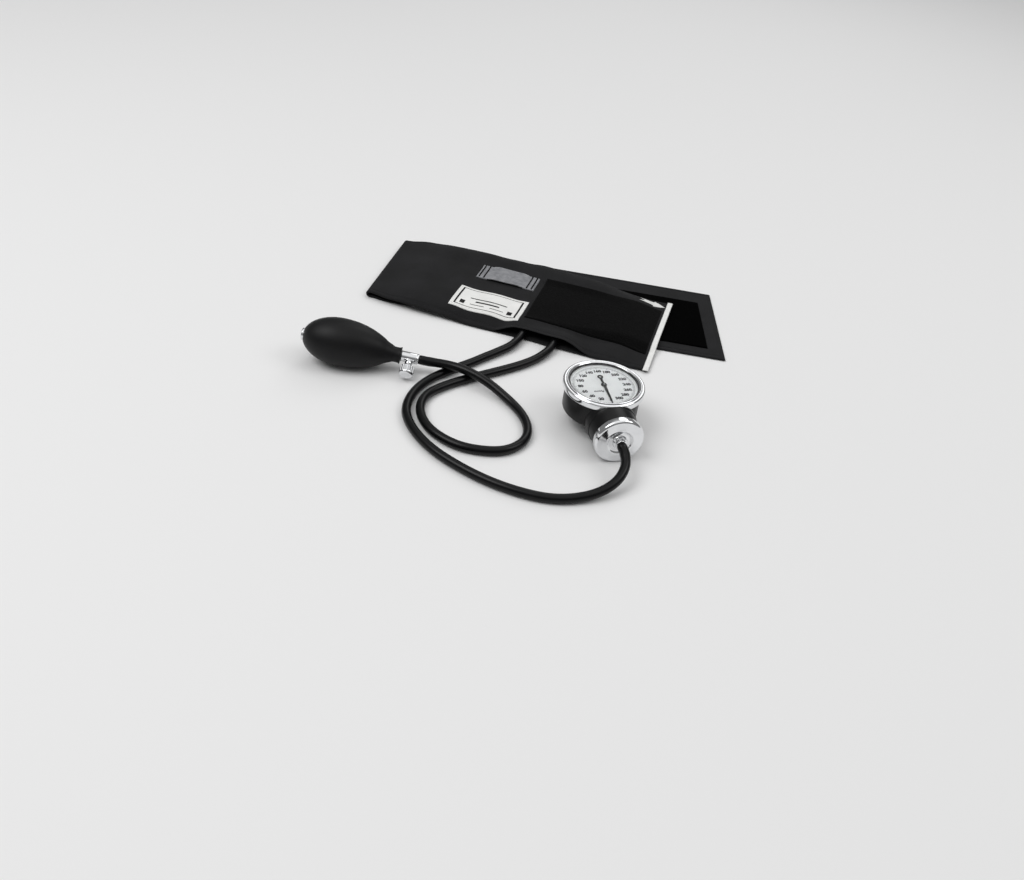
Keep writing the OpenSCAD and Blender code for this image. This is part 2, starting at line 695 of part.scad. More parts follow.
dial_screw_x = 9;
module dial() {
    color("#f1f1ee") at_gauge() translate([0, 0, dial_z]) difference() {
        cylinder(r = dial_r, h = dial_t, $fn = 96);
        translate([0, 0, -1]) cylinder(r = 1.6, h = 3);
        for (x = [-1, 1])
            translate([x * dial_screw_x, 0, -1]) cylinder(r = 0.75, h = 3);
        translate([0, -zero_stop_r, -1]) rotate([0, 0, 0]) translate([stop_side, 0, 0]) cylinder(r = 0.4, h = 3);
    }
}

module dial_screws() {
    color("#c9cbcd") at_gauge() for (x = [-1, 1])
        translate([x * dial_screw_x, 0, dial_z]) {
            translate([0, 0, -3]) cylinder(r = 0.7, h = 3 + dial_t);
            translate([0, 0, dial_t]) difference() {
                cylinder(r = 1.3, h = 0.5);
                translate([-2, -0.15, 0.25]) cube([4, 0.3, 1]);
            }
        }
}

// Small pin that the pointer comes to rest against at zero
pointer_z = dial_top_z + 1.2;
pointer_t = 0.4;
zero_stop_r = 13;
stop_side = 0.95;
module zero_stop() {
    color("#2b2b2c") at_gauge() translate([stop_side, -zero_stop_r, dial_z]) cylinder(r = 0.35, h = pointer_z + pointer_t - dial_z + 0.3);
}

// Pointer: tapering needle towards the drum at zero, hub and ring-shaped counterweight
module pointer() {
    tip = dial_r - 3.2;
    tail = 11.2;
    color("#161617") at_gauge() difference() {
        union() {
            translate([0, 0, pointer_z]) linear_extrude(pointer_t)
                polygon([[-0.75, 2], [-0.75, -6], [-0.5, -9], [-0.55, -tip * 0.72], [0, -tip], [0.55, -tip * 0.72], [0.5, -9], [0.75, -6], [0.75, 2]]);
            translate([-0.35, 0, pointer_z]) cube([0.7, tail - 1.5, pointer_t]);
            translate([0, tail, pointer_z]) cylinder(r = 2.1, h = pointer_t);
            translate([0, 0, pointer_z - 0.4]) cylinder(r = 2.2, h = pointer_t + 0.9);
        }
        translate([0, tail, pointer_z - 1]) cylinder(r = 1.2, h = 3);
        translate([0, 0, pointer_z - 2]) cylinder(r = arbor_r, h = 2.4 + pointer_t);
    }
}

// Movement: pinion on the dial's axis, sector below it, both between two brass plates
arbor_r = 0.6;
pivot_r = 0.8;
upper_plate_z = dial_z - 1.7 - plate_t;
lower_plate_z = upper_plate_z - plate_gap - plate_t;
gear_z = lower_plate_z + plate_t + 1.9;
gear_t = 0.8;
pinion_r = gear_module * pinion_teeth / 2;
sector_r = gear_module * sector_teeth / 2;
centre_gap = pinion_r + sector_r;
sector_at = [-crank_len, -sqrt(centre_gap * centre_gap - crank_len * crank_len)];
mesh_angle = atan2(-sector_at.y, -sector_at.x);
boss_h = 2;
crank_half_w = 0.8;
pressure_angle = 25;
pillars = [[-14, -13], [11, -19], [5, 9.5]];

// Involute teeth: flank angle at a radius, and the outline of one tooth about a given angle
function involute(r, base) = r <= base ? 0 : let (t = sqrt(r * r / base / base - 1)) t * 180 / PI - atan(t);
function tooth(pitch_r, count, at) =
    let (
        base = pitch_r * cos(pressure_angle),
        root = pitch_r - 1.05 * gear_module,
        tip = pitch_r + 0.8 * gear_module,
        half = 90 / count - backlash / 2 / pitch_r * 180 / PI,
        start = max(root, base),
        radii = concat(root < base ? [root] : [], [for (k = [0 : 4]) mix(start, tip, k / 4)]),
        n = len(radii),
        spread = [for (r = radii) half + involute(pitch_r, base) - involute(r, base)]
    )
    concat(
        [for (k = [0 : n - 1]) radii[k] * [cos(at - spread[k]), sin(at - spread[k])]],
        [for (k = [n - 1 : -1 : 0]) radii[k] * [cos(at + spread[k]), sin(at + spread[k])]]
    );

module pinion_arbor() {
    color("#c6a552") at_gauge() {
        translate([0, 0, gear_z - 0.4]) linear_extrude(gear_t + 0.8)
            polygon([for (k = [0 : pinion_teeth - 1]) each tooth(pinion_r, pinion_teeth, mesh_angle + 180 + k * 360 / pinion_teeth)]);
        translate([0, 0, lower_plate_z + 0.2]) cylinder(r = arbor_r, h = pointer_z + 0.2 - lower_plate_z);
        translate([0, 0, gear_z + gear_t + 0.4]) cylinder(r = 1.1, h = 0.9);
    }
}

// Flat spiral from a collet round the arbor to a stud on the upper plate
module hairspring() {
    blade = 0.16;
    start_r = 1.3;
    grow = 0.85;
    steps = 20 * hairspring_turns;
    function spiral(k, off) =
        let (r = start_r + off + grow * k / 20, a = k * 18) r * [cos(a), sin(a)];
    stud_r = start_r + grow * hairspring_turns;
    color("#8d97a5") at_gauge() translate([0, 0, gear_z + gear_t + 0.5]) {
        linear_extrude(0.6) polygon(concat(
            [for (k = [0 : steps]) spiral(k, 0)], [for (k = [steps : -1 : 0]) spiral(k, blade)]
        ));
        translate([stud_r + blade / 2, 0, 0]) cylinder(r = 0.45, h = upper_plate_z - gear_z - gear_t - 0.5, $fn = 24);
    }
}

module sector_gear() {
    pitch = 360 / sector_teeth;
    first = -ceil(sector_sweep / pitch) - 2;
    teeth = [for (k = [first : 1]) each tooth(sector_r, sector_teeth, mesh_angle + (k + 0.5) * pitch)];
    web_angle = mesh_angle - sector_sweep / 2;
    color("#c6a552") at_gauge() translate([sector_at.x, sector_at.y, gear_z]) difference() {
        union() {
            linear_extrude(gear_t) polygon(concat([[0, 0]], teeth));
            cylinder(r = 2.4, h = gear_t + 0.6);
        }
        translate([0, 0, -1]) cylinder(r = pivot_r, h = 4);
        for (a = [-9, 9])
            rotate([0, 0, web_angle + a]) translate([sector_r * 0.66, 0, -1]) cylinder(r = 1.7, h = 4);
        rotate([0, 0, web_angle]) translate([sector_r * 0.42, 0, -1]) cylinder(r = 1.3, h = 4);
    }
}

module sector_arbor() {
    low = back_z + pan_wall + boss_h - 1.5;
    color("#b4b6b8") at_gauge() translate([sector_at.x, sector_at.y, low])
        cylinder(r = pivot_r, h = upper_plate_z + plate_t - 0.2 - low);
}

// Crank that turns the capsule's push into the sector's turn
module crank_arm() {
    color("#c6a552") at_gauge() translate([sector_at.x, sector_at.y, axis_z - 1]) difference() {
        union() {
            translate([0, -crank_half_w, 0]) cube([crank_len + 1.3, 2 * crank_half_w, 2]);
            translate([0, 0, -0.6]) cylinder(r = 1.7, h = 3.2);
        }
        translate([0, 0, -2]) cylinder(r = pivot_r, h = 8);
    }
}

// Three-armed plate: arms from the pivots to the pillars, with round ends
module plate_blank() {
    function arm_len(a, b) = norm(b - a);
    module arm(a, b, w) {
        translate([a.x, a.y, 0]) rotate([0, 0, atan2(b.y - a.y, b.x - a.x)])
            translate([0, -w / 2, 0]) cube([arm_len(a, b), w, plate_t]);
    }
    for (p = pillars) {
        translate([p.x, p.y, 0]) cylinder(r = 2.9, h = plate_t);
        arm([0, 0], p, 4.4);
    }
    for (p = [pillars[0], pillars[1]])
        arm(sector_at, p, 4.4);
    cylinder(r = 4.2, h = plate_t);
    translate([sector_at.x, sector_at.y, 0]) cylinder(r = 3, h = plate_t);
}

module plate_holes(centre_r) {
    translate([0, 0, -1]) cylinder(r = centre_r, h = plate_t + 2);
    translate([sector_at.x, sector_at.y, -1]) cylinder(r = pivot_r + run, h = plate_t + 2);
    for (p = pillars)
        translate([p.x, p.y, -1]) cylinder(r = pillar_stud_r + run, h = plate_t + 2);
}

pillar_r = 1.6;
pillar_stud_r = 0.9;
module lower_plate() {
    color("#c9a64b") at_gauge() translate([0, 0, lower_plate_z]) difference() {
        plate_blank();
        plate_holes(arbor_r + run);
    }
}

module upper_plate() {
    color("#c9a64b") at_gauge() translate([0, 0, upper_plate_z]) difference() {
        union() {
            plate_blank();
            translate([-dial_screw_x - 1.9, -1.9, 0]) cube([2 * dial_screw_x + 3.8, 3.8, plate_t]);
            for (x = [-1, 1])
                translate([x * dial_screw_x, 0, 0]) cylinder(r = 1.9, h = dial_z - upper_plate_z);
        }
        plate_holes(arbor_r + run);
        for (x = [-1, 1])
            translate([x * dial_screw_x, 0, -1]) cylinder(r = 0.7 + run, h = 6);
    }
}

// Pillars between the plates, each with a stud and a slotted head on the upper plate
module plate_pillars() {
    color("#cfd1d3") at_gauge() for (p = pillars)
        translate([p.x, p.y, lower_plate_z + plate_t]) {
            cylinder(r = pillar_r, h = plate_gap);
            cylinder(r = pillar_stud_r, h = plate_gap + plate_t);
            translate([0, 0, plate_gap + plate_t]) difference() {
                cylinder(r = 1.7, h = 0.9);
                translate([-3, -0.2, 0.45]) cube([6, 0.4, 1]);
            }
        }
}

// Posts from the pan's floor to the lower plate, with studs that pass through it
module movement_posts() {
    color("#cfd1d3") at_gauge() for (p = pillars)
        translate([p.x, p.y, back_z + pan_wall]) {
            cylinder(r = 2.2, h = lower_plate_z - back_z - pan_wall);
            cylinder(r = pillar_stud_r, h = lower_plate_z - back_z - pan_wall + plate_t);
        }
}

// Drum for the capsule, cut to sit against the round pan
module drum_housing() {
    color("#1a1a1c") difference() {
        at_drum() difference() {
            union() {
                cylinder(r = drum_r, h = drum_reach, $fn = 96);
                translate([0, 0, pan_r - 6]) cylinder(r = drum_r + 0.7, h = 9, $fn = 96);
            }
            translate([0, 0, pan_r + 0.8]) cylinder(r = drum_inner_r, h = drum_reach, $fn = 96);
            translate([0, 0, 1]) cylinder(r = pin_hole_r, h = drum_reach);
        }
        at_gauge() translate([0, 0, -1]) cylinder(r = pan_r + fit, h = front_z + 4, $fn = 96);
        at_gauge() translate([0, 0, front_z - bezel_h - fit]) cylinder(r = bezel_r + fit, h = 20, $fn = 96);
    }
}

module cap_gasket() {
    color("#2a2a2b") at_drum() translate([0, 0, drum_reach]) ring(drum_r - 0.1, drum_inner_r, cap_gasket_t);
}

// Chrome end cap: skirt over the drum, stepped face with a ring groove and a raised centre boss
module end_cap() {
    skirt = 4;
    skirt_r = drum_r + run;
    cap_r = cap_d / 2;
    rim_round = 2.2;
    face = -cap_inner_y;
    profile = [
        [skirt_r, face - skirt], [cap_r, face - skirt],
        for (a = [0 : 15 : 90]) [cap_r - rim_round + rim_round * cos(a), face + cap_t - rim_round + rim_round * sin(a)],
        [12.6, face + cap_t], [12, face + cap_t + 0.6],
        [10.4, face + cap_t + 0.6], [9.6, face + cap_t - 0.7], [6.6, face + cap_t - 0.7], [5.8, face + cap_t + 0.4],
        [5.4, face + cap_t + 2], [nipple_stem_r, face + cap_t + 2], [nipple_stem_r, face], [skirt_r, face]
    ];
    color("#dadcde") at_drum() rotate_extrude($fn = 96) polygon(profile);
}

// Hose nipple with a six-sided collar, a stem into the capsule and a three-step barb
nipple_stem_r = 2.5;
capsule_back_y = 48.2;
module nipple() {
    collar_z = -nipple_face_y - collar_len;
    color("#d8dadc") at_drum() difference() {
        union() {
            translate([0, 0, capsule_back_y]) cylinder(r = nipple_stem_r, h = collar_z - capsule_back_y + 1);
            translate([0, 0, collar_z]) cylinder(r = 4.6, h = collar_len, $fn = 6);
            translate([0, 0, collar_z]) cylinder(r = 2.2, h = collar_len + barb_len);
            for (k = [0 : 2])
                translate([0, 0, collar_z + collar_len + 2.5 + 3.6 * k]) cylinder(r1 = 2.9, r2 = 2.2, h = 3);
        }
        translate([0, 0, capsule_back_y - 1]) cylinder(r = 1.2, h = 60);
    }
}

// Pressure capsule: two corrugated shells, the front one sliding over the back one's rim
corrugation = 0.45;
skirt_h = 4.2;
shell_t = 0.5;
function waves(r0, r1, z) = [for (k = [0 : 16])
    let (r = mix(r0, r1, k / 16)) [r, z + corrugation * sin(k * 90)]];

module capsule_back() {
    rim_r = capsule_r - shell_t - fit;
    color("#b99a4c") at_drum() rotate_extrude($fn = 72) polygon(concat(
        [[nipple_stem_r + run, capsule_back_y]], waves(4.5, rim_r - 1.5, capsule_back_y - 0.5),
        [[rim_r, capsule_back_y - 0.5], [rim_r, capsule_back_y - 5], [rim_r - shell_t, capsule_back_y - 5],
         [rim_r - shell_t, capsule_back_y - 1.3]],
        [for (k = [16 : -1 : 0]) let (p = waves(4.5, rim_r - 1.5, capsule_back_y - 1.2)[k]) p],
        [[nipple_stem_r + run, capsule_back_y - 1.6]]
    ));
}

capsule_front_y = 40.4;
module capsule_front() {
    color("#b99a4c") at_drum() rotate_extrude($fn = 72) polygon(concat(
        [[0, capsule_front_y - 0.6], [2.6, capsule_front_y - 0.6]],
        waves(4, capsule_r - 1.6, capsule_front_y),
        [[capsule_r, capsule_front_y], [capsule_r, capsule_front_y + skirt_h + 0.6],
         [capsule_r - shell_t, capsule_front_y + skirt_h + 0.6], [capsule_r - shell_t, capsule_front_y + 0.8]],
        [for (k = [16 : -1 : 0]) let (p = waves(4, capsule_r - 1.6, capsule_front_y + 0.7)[k]) p],
        [[2.6, capsule_front_y + 1], [0, capsule_front_y + 1]]
    ));
}

// Pin from the capsule's centre to the crank, with a domed tip
pin_r = 0.75;
module push_pin() {
    tip = -sector_at.y + crank_half_w + run + pin_r;
    color("#b4b6b8") at_drum() {
        translate([0, 0, tip]) cylinder(r = pin_r, h = capsule_front_y - 0.6 - tip);
        translate([0, 0, tip]) sphere(r = pin_r, $fn = 32);
        translate([0, 0, capsule_front_y - 2.1]) cylinder(r = 2.2, h = 1.5);
    }
}

// Spring clip on the back: foot, round bend at 12 o'clock and a leaf that runs back towards the drum
clip_w = 24;
clip_t = 0.9;
clip_foot_y = 3.5;
rivet_x = 6;
rivet_r = 1.4;
module back_clip() {
    bend_r = (back_z - 0.4) / 2;
    bend_y = 14;
    leaf_end = [-15, back_z - 5];
    rise = atan2(leaf_end.y - 0.4, bend_y - leaf_end.x);
    leaf_len = norm([bend_y - leaf_end.x, leaf_end.y - 0.4]);
    color("#c4c6c9") at_gauge() difference() {
        rotate([90, 0, -90]) translate([0, 0, -clip_w / 2]) union() {
            translate([-bend_y, back_z - clip_t, 0]) cube([bend_y, clip_t, clip_w]);
            translate([-bend_y, back_z - bend_r, 0]) difference() {
                cylinder(r = bend_r, h = clip_w);
                translate([0, 0, -1]) cylinder(r = bend_r - clip_t, h = clip_w + 2);
                translate([0, -bend_r - 1, -1]) cube([bend_r + 2, 2 * bend_r + 2, clip_w + 2]);
            }
            translate([-bend_y, back_z - 2 * bend_r, 0]) rotate([0, 0, rise]) cube([leaf_len, clip_t, clip_w]);
        }
        for (x = [-1, 1])
            translate([x * rivet_x, clip_foot_y, -1]) cylinder(r = rivet_r + run, h = back_z + 2);
    }
}

module clip_rivets() {
    color("#b8babd") at_gauge() for (x = [-1, 1])
        translate([x * rivet_x, clip_foot_y, back_z - clip_t]) {
            translate([0, 0, -0.8]) cylinder(r1 = 1.9, r2 = 2.3, h = 0.8);
            cylinder(r = rivet_r, h = clip_t + pan_wall);
            translate([0, 0, clip_t + pan_wall]) cylinder(r = 2.1, h = 0.6);
        }
}

cuff_outer_cloth();
cuff_inner_cloth();
bladder();
loop_panel();
hook_panel();
index_tape();
gauge_strap();
label_patch();
bulb_tube();
gauge_tube();
bulb_shell();
inlet_body();
inlet_ball();
inlet_retainer();
valve_body();
valve_washer();
release_screw();
valve_needle();
outlet_disc();
outlet_retainer();
case_pan();
bezel_ring();
crystal();
crystal_gasket();
dial_ring();
dial();
dial_screws();
zero_stop();
pointer();
pinion_arbor();
hairspring();
sector_gear();
sector_arbor();
crank_arm();
lower_plate();
upper_plate();
plate_pillars();
movement_posts();
drum_housing();
cap_gasket();
end_cap();
nipple();
capsule_back();
capsule_front();
push_pin();
back_clip();
clip_rivets();
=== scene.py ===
# Aneroid blood pressure set: folded arm cuff, squeeze bulb with release valve, dial gauge and two tubes.
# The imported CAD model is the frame; the pieces here dress it for a plain studio picture.
import json
import math

import bmesh
import bpy
from mathutils import Matrix, Vector, noise
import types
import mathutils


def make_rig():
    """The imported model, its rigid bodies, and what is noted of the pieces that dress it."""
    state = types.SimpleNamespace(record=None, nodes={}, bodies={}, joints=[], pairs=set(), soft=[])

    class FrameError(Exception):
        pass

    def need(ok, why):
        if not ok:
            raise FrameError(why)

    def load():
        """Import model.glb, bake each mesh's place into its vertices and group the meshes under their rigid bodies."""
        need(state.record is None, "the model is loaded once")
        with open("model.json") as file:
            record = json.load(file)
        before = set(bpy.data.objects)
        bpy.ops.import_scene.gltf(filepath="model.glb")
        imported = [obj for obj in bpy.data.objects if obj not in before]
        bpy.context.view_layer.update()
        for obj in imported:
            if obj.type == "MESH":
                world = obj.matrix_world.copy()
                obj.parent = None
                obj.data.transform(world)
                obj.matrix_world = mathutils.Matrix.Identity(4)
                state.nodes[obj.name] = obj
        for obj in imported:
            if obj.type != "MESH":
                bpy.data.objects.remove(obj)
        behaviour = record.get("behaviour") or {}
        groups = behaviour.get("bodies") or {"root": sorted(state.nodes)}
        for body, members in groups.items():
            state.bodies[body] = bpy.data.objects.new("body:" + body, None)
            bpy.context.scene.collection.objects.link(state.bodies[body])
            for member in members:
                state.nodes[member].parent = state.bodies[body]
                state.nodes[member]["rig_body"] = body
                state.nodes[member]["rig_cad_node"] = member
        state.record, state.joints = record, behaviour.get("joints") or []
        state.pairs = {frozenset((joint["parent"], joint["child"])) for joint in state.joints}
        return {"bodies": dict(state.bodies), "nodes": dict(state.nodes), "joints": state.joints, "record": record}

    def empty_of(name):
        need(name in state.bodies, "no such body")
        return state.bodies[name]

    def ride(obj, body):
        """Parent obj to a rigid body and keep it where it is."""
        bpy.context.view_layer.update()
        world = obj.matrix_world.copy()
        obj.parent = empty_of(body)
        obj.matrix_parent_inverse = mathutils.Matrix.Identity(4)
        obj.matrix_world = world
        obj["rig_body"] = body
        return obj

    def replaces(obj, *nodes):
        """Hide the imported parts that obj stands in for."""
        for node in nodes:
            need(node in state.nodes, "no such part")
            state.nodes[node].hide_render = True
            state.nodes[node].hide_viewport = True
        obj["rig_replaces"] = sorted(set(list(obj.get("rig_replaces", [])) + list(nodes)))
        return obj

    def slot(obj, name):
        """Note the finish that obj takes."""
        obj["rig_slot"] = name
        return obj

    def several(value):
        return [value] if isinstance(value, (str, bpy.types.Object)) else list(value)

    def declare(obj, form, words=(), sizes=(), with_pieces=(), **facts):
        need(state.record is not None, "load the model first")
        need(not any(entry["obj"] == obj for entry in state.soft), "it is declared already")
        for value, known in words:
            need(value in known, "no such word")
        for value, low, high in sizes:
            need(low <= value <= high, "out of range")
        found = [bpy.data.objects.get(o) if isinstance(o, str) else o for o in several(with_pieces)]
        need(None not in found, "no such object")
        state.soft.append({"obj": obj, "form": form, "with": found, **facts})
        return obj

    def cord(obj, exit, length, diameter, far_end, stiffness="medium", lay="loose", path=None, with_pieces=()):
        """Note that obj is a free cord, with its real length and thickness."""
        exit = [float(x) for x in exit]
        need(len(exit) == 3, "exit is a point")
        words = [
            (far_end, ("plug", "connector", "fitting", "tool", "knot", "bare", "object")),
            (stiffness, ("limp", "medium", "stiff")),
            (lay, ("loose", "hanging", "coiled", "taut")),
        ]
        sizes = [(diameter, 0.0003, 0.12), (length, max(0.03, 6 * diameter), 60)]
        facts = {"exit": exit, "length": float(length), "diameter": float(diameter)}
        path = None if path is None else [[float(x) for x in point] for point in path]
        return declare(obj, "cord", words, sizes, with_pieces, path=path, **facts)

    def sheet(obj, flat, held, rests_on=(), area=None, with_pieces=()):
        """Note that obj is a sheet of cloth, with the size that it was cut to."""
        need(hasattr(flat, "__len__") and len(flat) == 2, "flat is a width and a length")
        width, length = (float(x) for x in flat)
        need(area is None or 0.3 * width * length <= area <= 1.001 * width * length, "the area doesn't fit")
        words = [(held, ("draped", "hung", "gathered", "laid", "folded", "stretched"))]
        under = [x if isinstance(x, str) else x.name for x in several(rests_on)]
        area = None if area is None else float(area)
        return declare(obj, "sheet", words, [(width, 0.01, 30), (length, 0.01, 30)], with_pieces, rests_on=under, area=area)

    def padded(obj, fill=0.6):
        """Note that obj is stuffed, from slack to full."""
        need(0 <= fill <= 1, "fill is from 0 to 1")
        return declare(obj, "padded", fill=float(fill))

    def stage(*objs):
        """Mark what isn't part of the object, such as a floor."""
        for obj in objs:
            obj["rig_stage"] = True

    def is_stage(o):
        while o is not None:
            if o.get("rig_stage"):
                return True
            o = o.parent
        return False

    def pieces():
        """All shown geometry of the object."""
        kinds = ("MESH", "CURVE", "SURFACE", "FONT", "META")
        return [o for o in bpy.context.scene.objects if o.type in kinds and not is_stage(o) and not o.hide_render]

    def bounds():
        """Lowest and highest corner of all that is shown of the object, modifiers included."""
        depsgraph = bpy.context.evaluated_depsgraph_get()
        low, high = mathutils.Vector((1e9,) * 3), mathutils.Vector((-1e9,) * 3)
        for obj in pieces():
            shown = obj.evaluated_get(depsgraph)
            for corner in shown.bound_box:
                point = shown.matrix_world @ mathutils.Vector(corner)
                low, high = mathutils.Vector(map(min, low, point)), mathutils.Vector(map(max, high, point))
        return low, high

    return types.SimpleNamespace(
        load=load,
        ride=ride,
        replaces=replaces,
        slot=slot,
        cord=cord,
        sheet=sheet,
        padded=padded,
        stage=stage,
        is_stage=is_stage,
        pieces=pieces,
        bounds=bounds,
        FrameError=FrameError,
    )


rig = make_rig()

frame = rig.load()
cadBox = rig.bounds()
nodes = frame["nodes"]
mm = 0.001
mainBody = "set"
print("packed model loaded:", len(nodes), "nodes")

# the photograph's angle, found from the cuff's corners, the bulb and the dial
camera = {
    "target": (64, -218.7, 0),   # mm
    "distance": 790,
    "turn": 12.7,                # degrees, to the left of straight back
    "height": 37.5,              # degrees above the table
    "roll": 8,
    "lens": 33.4,                # mm on a 36 mm sensor
}


def addCamera():
    turn = math.radians(camera["turn"])
    height = math.radians(camera["height"])
    reach = math.cos(height)
    forward = Vector((-math.sin(turn) * reach, math.cos(turn) * reach, -math.sin(height)))
    place = Vector(camera["target"]) - forward * camera["distance"]
    bpy.ops.object.camera_add(location=place * mm)
    eye = bpy.context.object
    eye.name = "studioCamera"
    level = forward.to_track_quat("-Z", "Y").to_matrix()
    eye.rotation_euler = (level @ Matrix.Rotation(math.radians(camera["roll"]), 3, "Z")).to_euler()
    eye.data.sensor_width = 36
    eye.data.lens = camera["lens"]
    eye.data.clip_start = 0.01
    bpy.context.scene.camera = eye


addCamera()
print("camera set")


# Small helpers

def deselect():
    for item in bpy.context.selected_objects:
        item.select_set(False)


def pick(*pieces):
    deselect()
    for piece in pieces:
        piece.select_set(True)
    bpy.context.view_layer.objects.active = pieces[0]


def editMesh(piece):
    # the whole mesh is selected
    pick(piece)
    bpy.ops.object.mode_set(mode="EDIT")
    bpy.ops.mesh.select_all(action="SELECT")


def leaveEdit():
    bpy.ops.object.mode_set(mode="OBJECT")


def applyModifier(piece, kind, **settings):
    pick(piece)
    modifier = piece.modifiers.new(kind.lower(), kind)
    for name, value in settings.items():
        setattr(modifier, name, value)
    bpy.ops.object.modifier_apply(modifier=modifier.name)


def settle(piece):
    pick(piece)
    bpy.ops.object.transform_apply(location=True, rotation=True, scale=True)


def shade(piece, angle):
    # smooth, with sharp edges beyond the angle in degrees
    pick(piece)
    bpy.ops.object.shade_smooth_by_angle(angle=math.radians(angle))


def joinPieces(name, pieces):
    pick(*pieces)
    if len(pieces) > 1:
        bpy.ops.object.join()
    pieces[0].name = name
    return pieces[0]


def dress(piece, material, slotName, stands=(), body=mainBody):
    # gives a piece its material, its body and the CAD nodes that it stands for
    piece.data.materials.clear()
    piece.data.materials.append(material)
    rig.ride(piece, body)
    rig.slot(piece, slotName)
    if stands:
        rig.replaces(piece, *stands)
    return piece


def meshPiece(name, points, faces):
    # points in mm
    data = bpy.data.meshes.new(name)
    data.from_pydata([Vector(p) * mm for p in points], [], faces)
    data.update()
    piece = bpy.data.objects.new(name, data)
    bpy.context.scene.collection.objects.link(piece)
    return piece


def smooth(u):
    # an even rise from 0 to 1
    c = min(max(u, 0), 1)
    return c * c * (3 - 2 * c)


def mix(a, b, u):
    return a + (b - a) * u


# Materials. Colours are sRGB hex values; pattern scales come from real sizes in mm.

def linear(code):
    parts = [int(code[i:i + 2], 16) / 255 for i in (1, 3, 5)]
    return [c / 12.92 if c < 0.04045 else ((c + 0.055) / 1.055) ** 2.4 for c in parts] + [1]


def waves(period):
    return 0.31416 / (period * mm)      # a wave texture has one band in each 0.314 units at scale 1


def grains(size):
    return 1 / (size * mm)


def addNode(tree, kind, values=None, links=None, **settings):
    node = tree.nodes.new(kind)
    for name, value in settings.items():
        setattr(node, name, value)
    for socket, value in (values or {}).items():
        node.inputs[socket].default_value = value
    for socket, source in (links or {}).items():
        tree.links.new(source, node.inputs[socket])
    return node


def startMaterial(name, **values):
    # sockets of the shader are named with _ for each space
    material = bpy.data.materials.new(name)
    material.use_nodes = True
    tree = material.node_tree
    shader = tree.nodes["Principled BSDF"]
    for socket, value in values.items():
        shader.inputs[socket.replace("_", " ")].default_value = value
    return material, tree, shader


def clouds(tree, place, scale, detail, roughness=0.5):
    return addNode(tree, "ShaderNodeTexNoise", links={"Vector": place}, values={
        "Scale": scale, "Detail": detail, "Roughness": roughness}).outputs["Fac"]


def tones(tree, shader, pattern, low, high, a, b):
    # base colour from low to high, as a pattern goes from a to b
    ramp = addNode(tree, "ShaderNodeValToRGB", links={"Fac": pattern})
    for k, (position, code) in enumerate(((a, low), (b, high))):
        ramp.color_ramp.elements[k].position = position
        ramp.color_ramp.elements[k].color = linear(code)
    tree.links.new(ramp.outputs["Color"], shader.inputs["Base Color"])


def gloss(tree, shader, pattern, low, high, a=0, b=1):
    # roughness from low to high, as a pattern goes from a to b
    span = addNode(tree, "ShaderNodeMapRange", links={"Value": pattern}, values={
        "From Min": a, "From Max": b, "To Min": low, "To Max": high})
    tree.links.new(span.outputs["Result"], shader.inputs["Roughness"])


def bump(tree, shader, height, strength, distance):
    node = addNode(tree, "ShaderNodeBump", values={"Strength": strength, "Distance": distance * mm},
                   links={"Height": height})
    tree.links.new(node.outputs["Normal"], shader.inputs["Normal"])


def weave(name, low, high, pitch, depth, roughness=0.85, sheen=0.04, patch=30):
    # plain weave on the piece's UV map, which is in metres along the cloth
    material, tree, shader = startMaterial(
        name, Roughness=roughness, Sheen_Weight=sheen, Sheen_Roughness=0.5, Specular_IOR_Level=0.25)
    place = addNode(tree, "ShaderNodeTexCoord").outputs["UV"]
    across = addNode(tree, "ShaderNodeTexWave", links={"Vector": place}, bands_direction="X", values={
        "Scale": waves(pitch), "Distortion": 0.4, "Detail Scale": 2})
    along = addNode(tree, "ShaderNodeTexWave", links={"Vector": place}, bands_direction="Y", values={
        "Scale": waves(pitch), "Distortion": 0.4})
    threads = addNode(tree, "ShaderNodeMath", links={0: across.outputs["Fac"], 1: along.outputs["Fac"]},
                      operation="ADD").outputs[0]
    fading = clouds(tree, place, grains(patch), 4, 0.65)
    blend = addNode(tree, "ShaderNodeMath", values={1: 0.12}, links={0: threads, 2: fading},
                    operation="MULTIPLY_ADD")
    tones(tree, shader, blend.outputs[0], low, high, 0.42, 0.82)
    bump(tree, shader, threads, 0.5, depth)
    return material


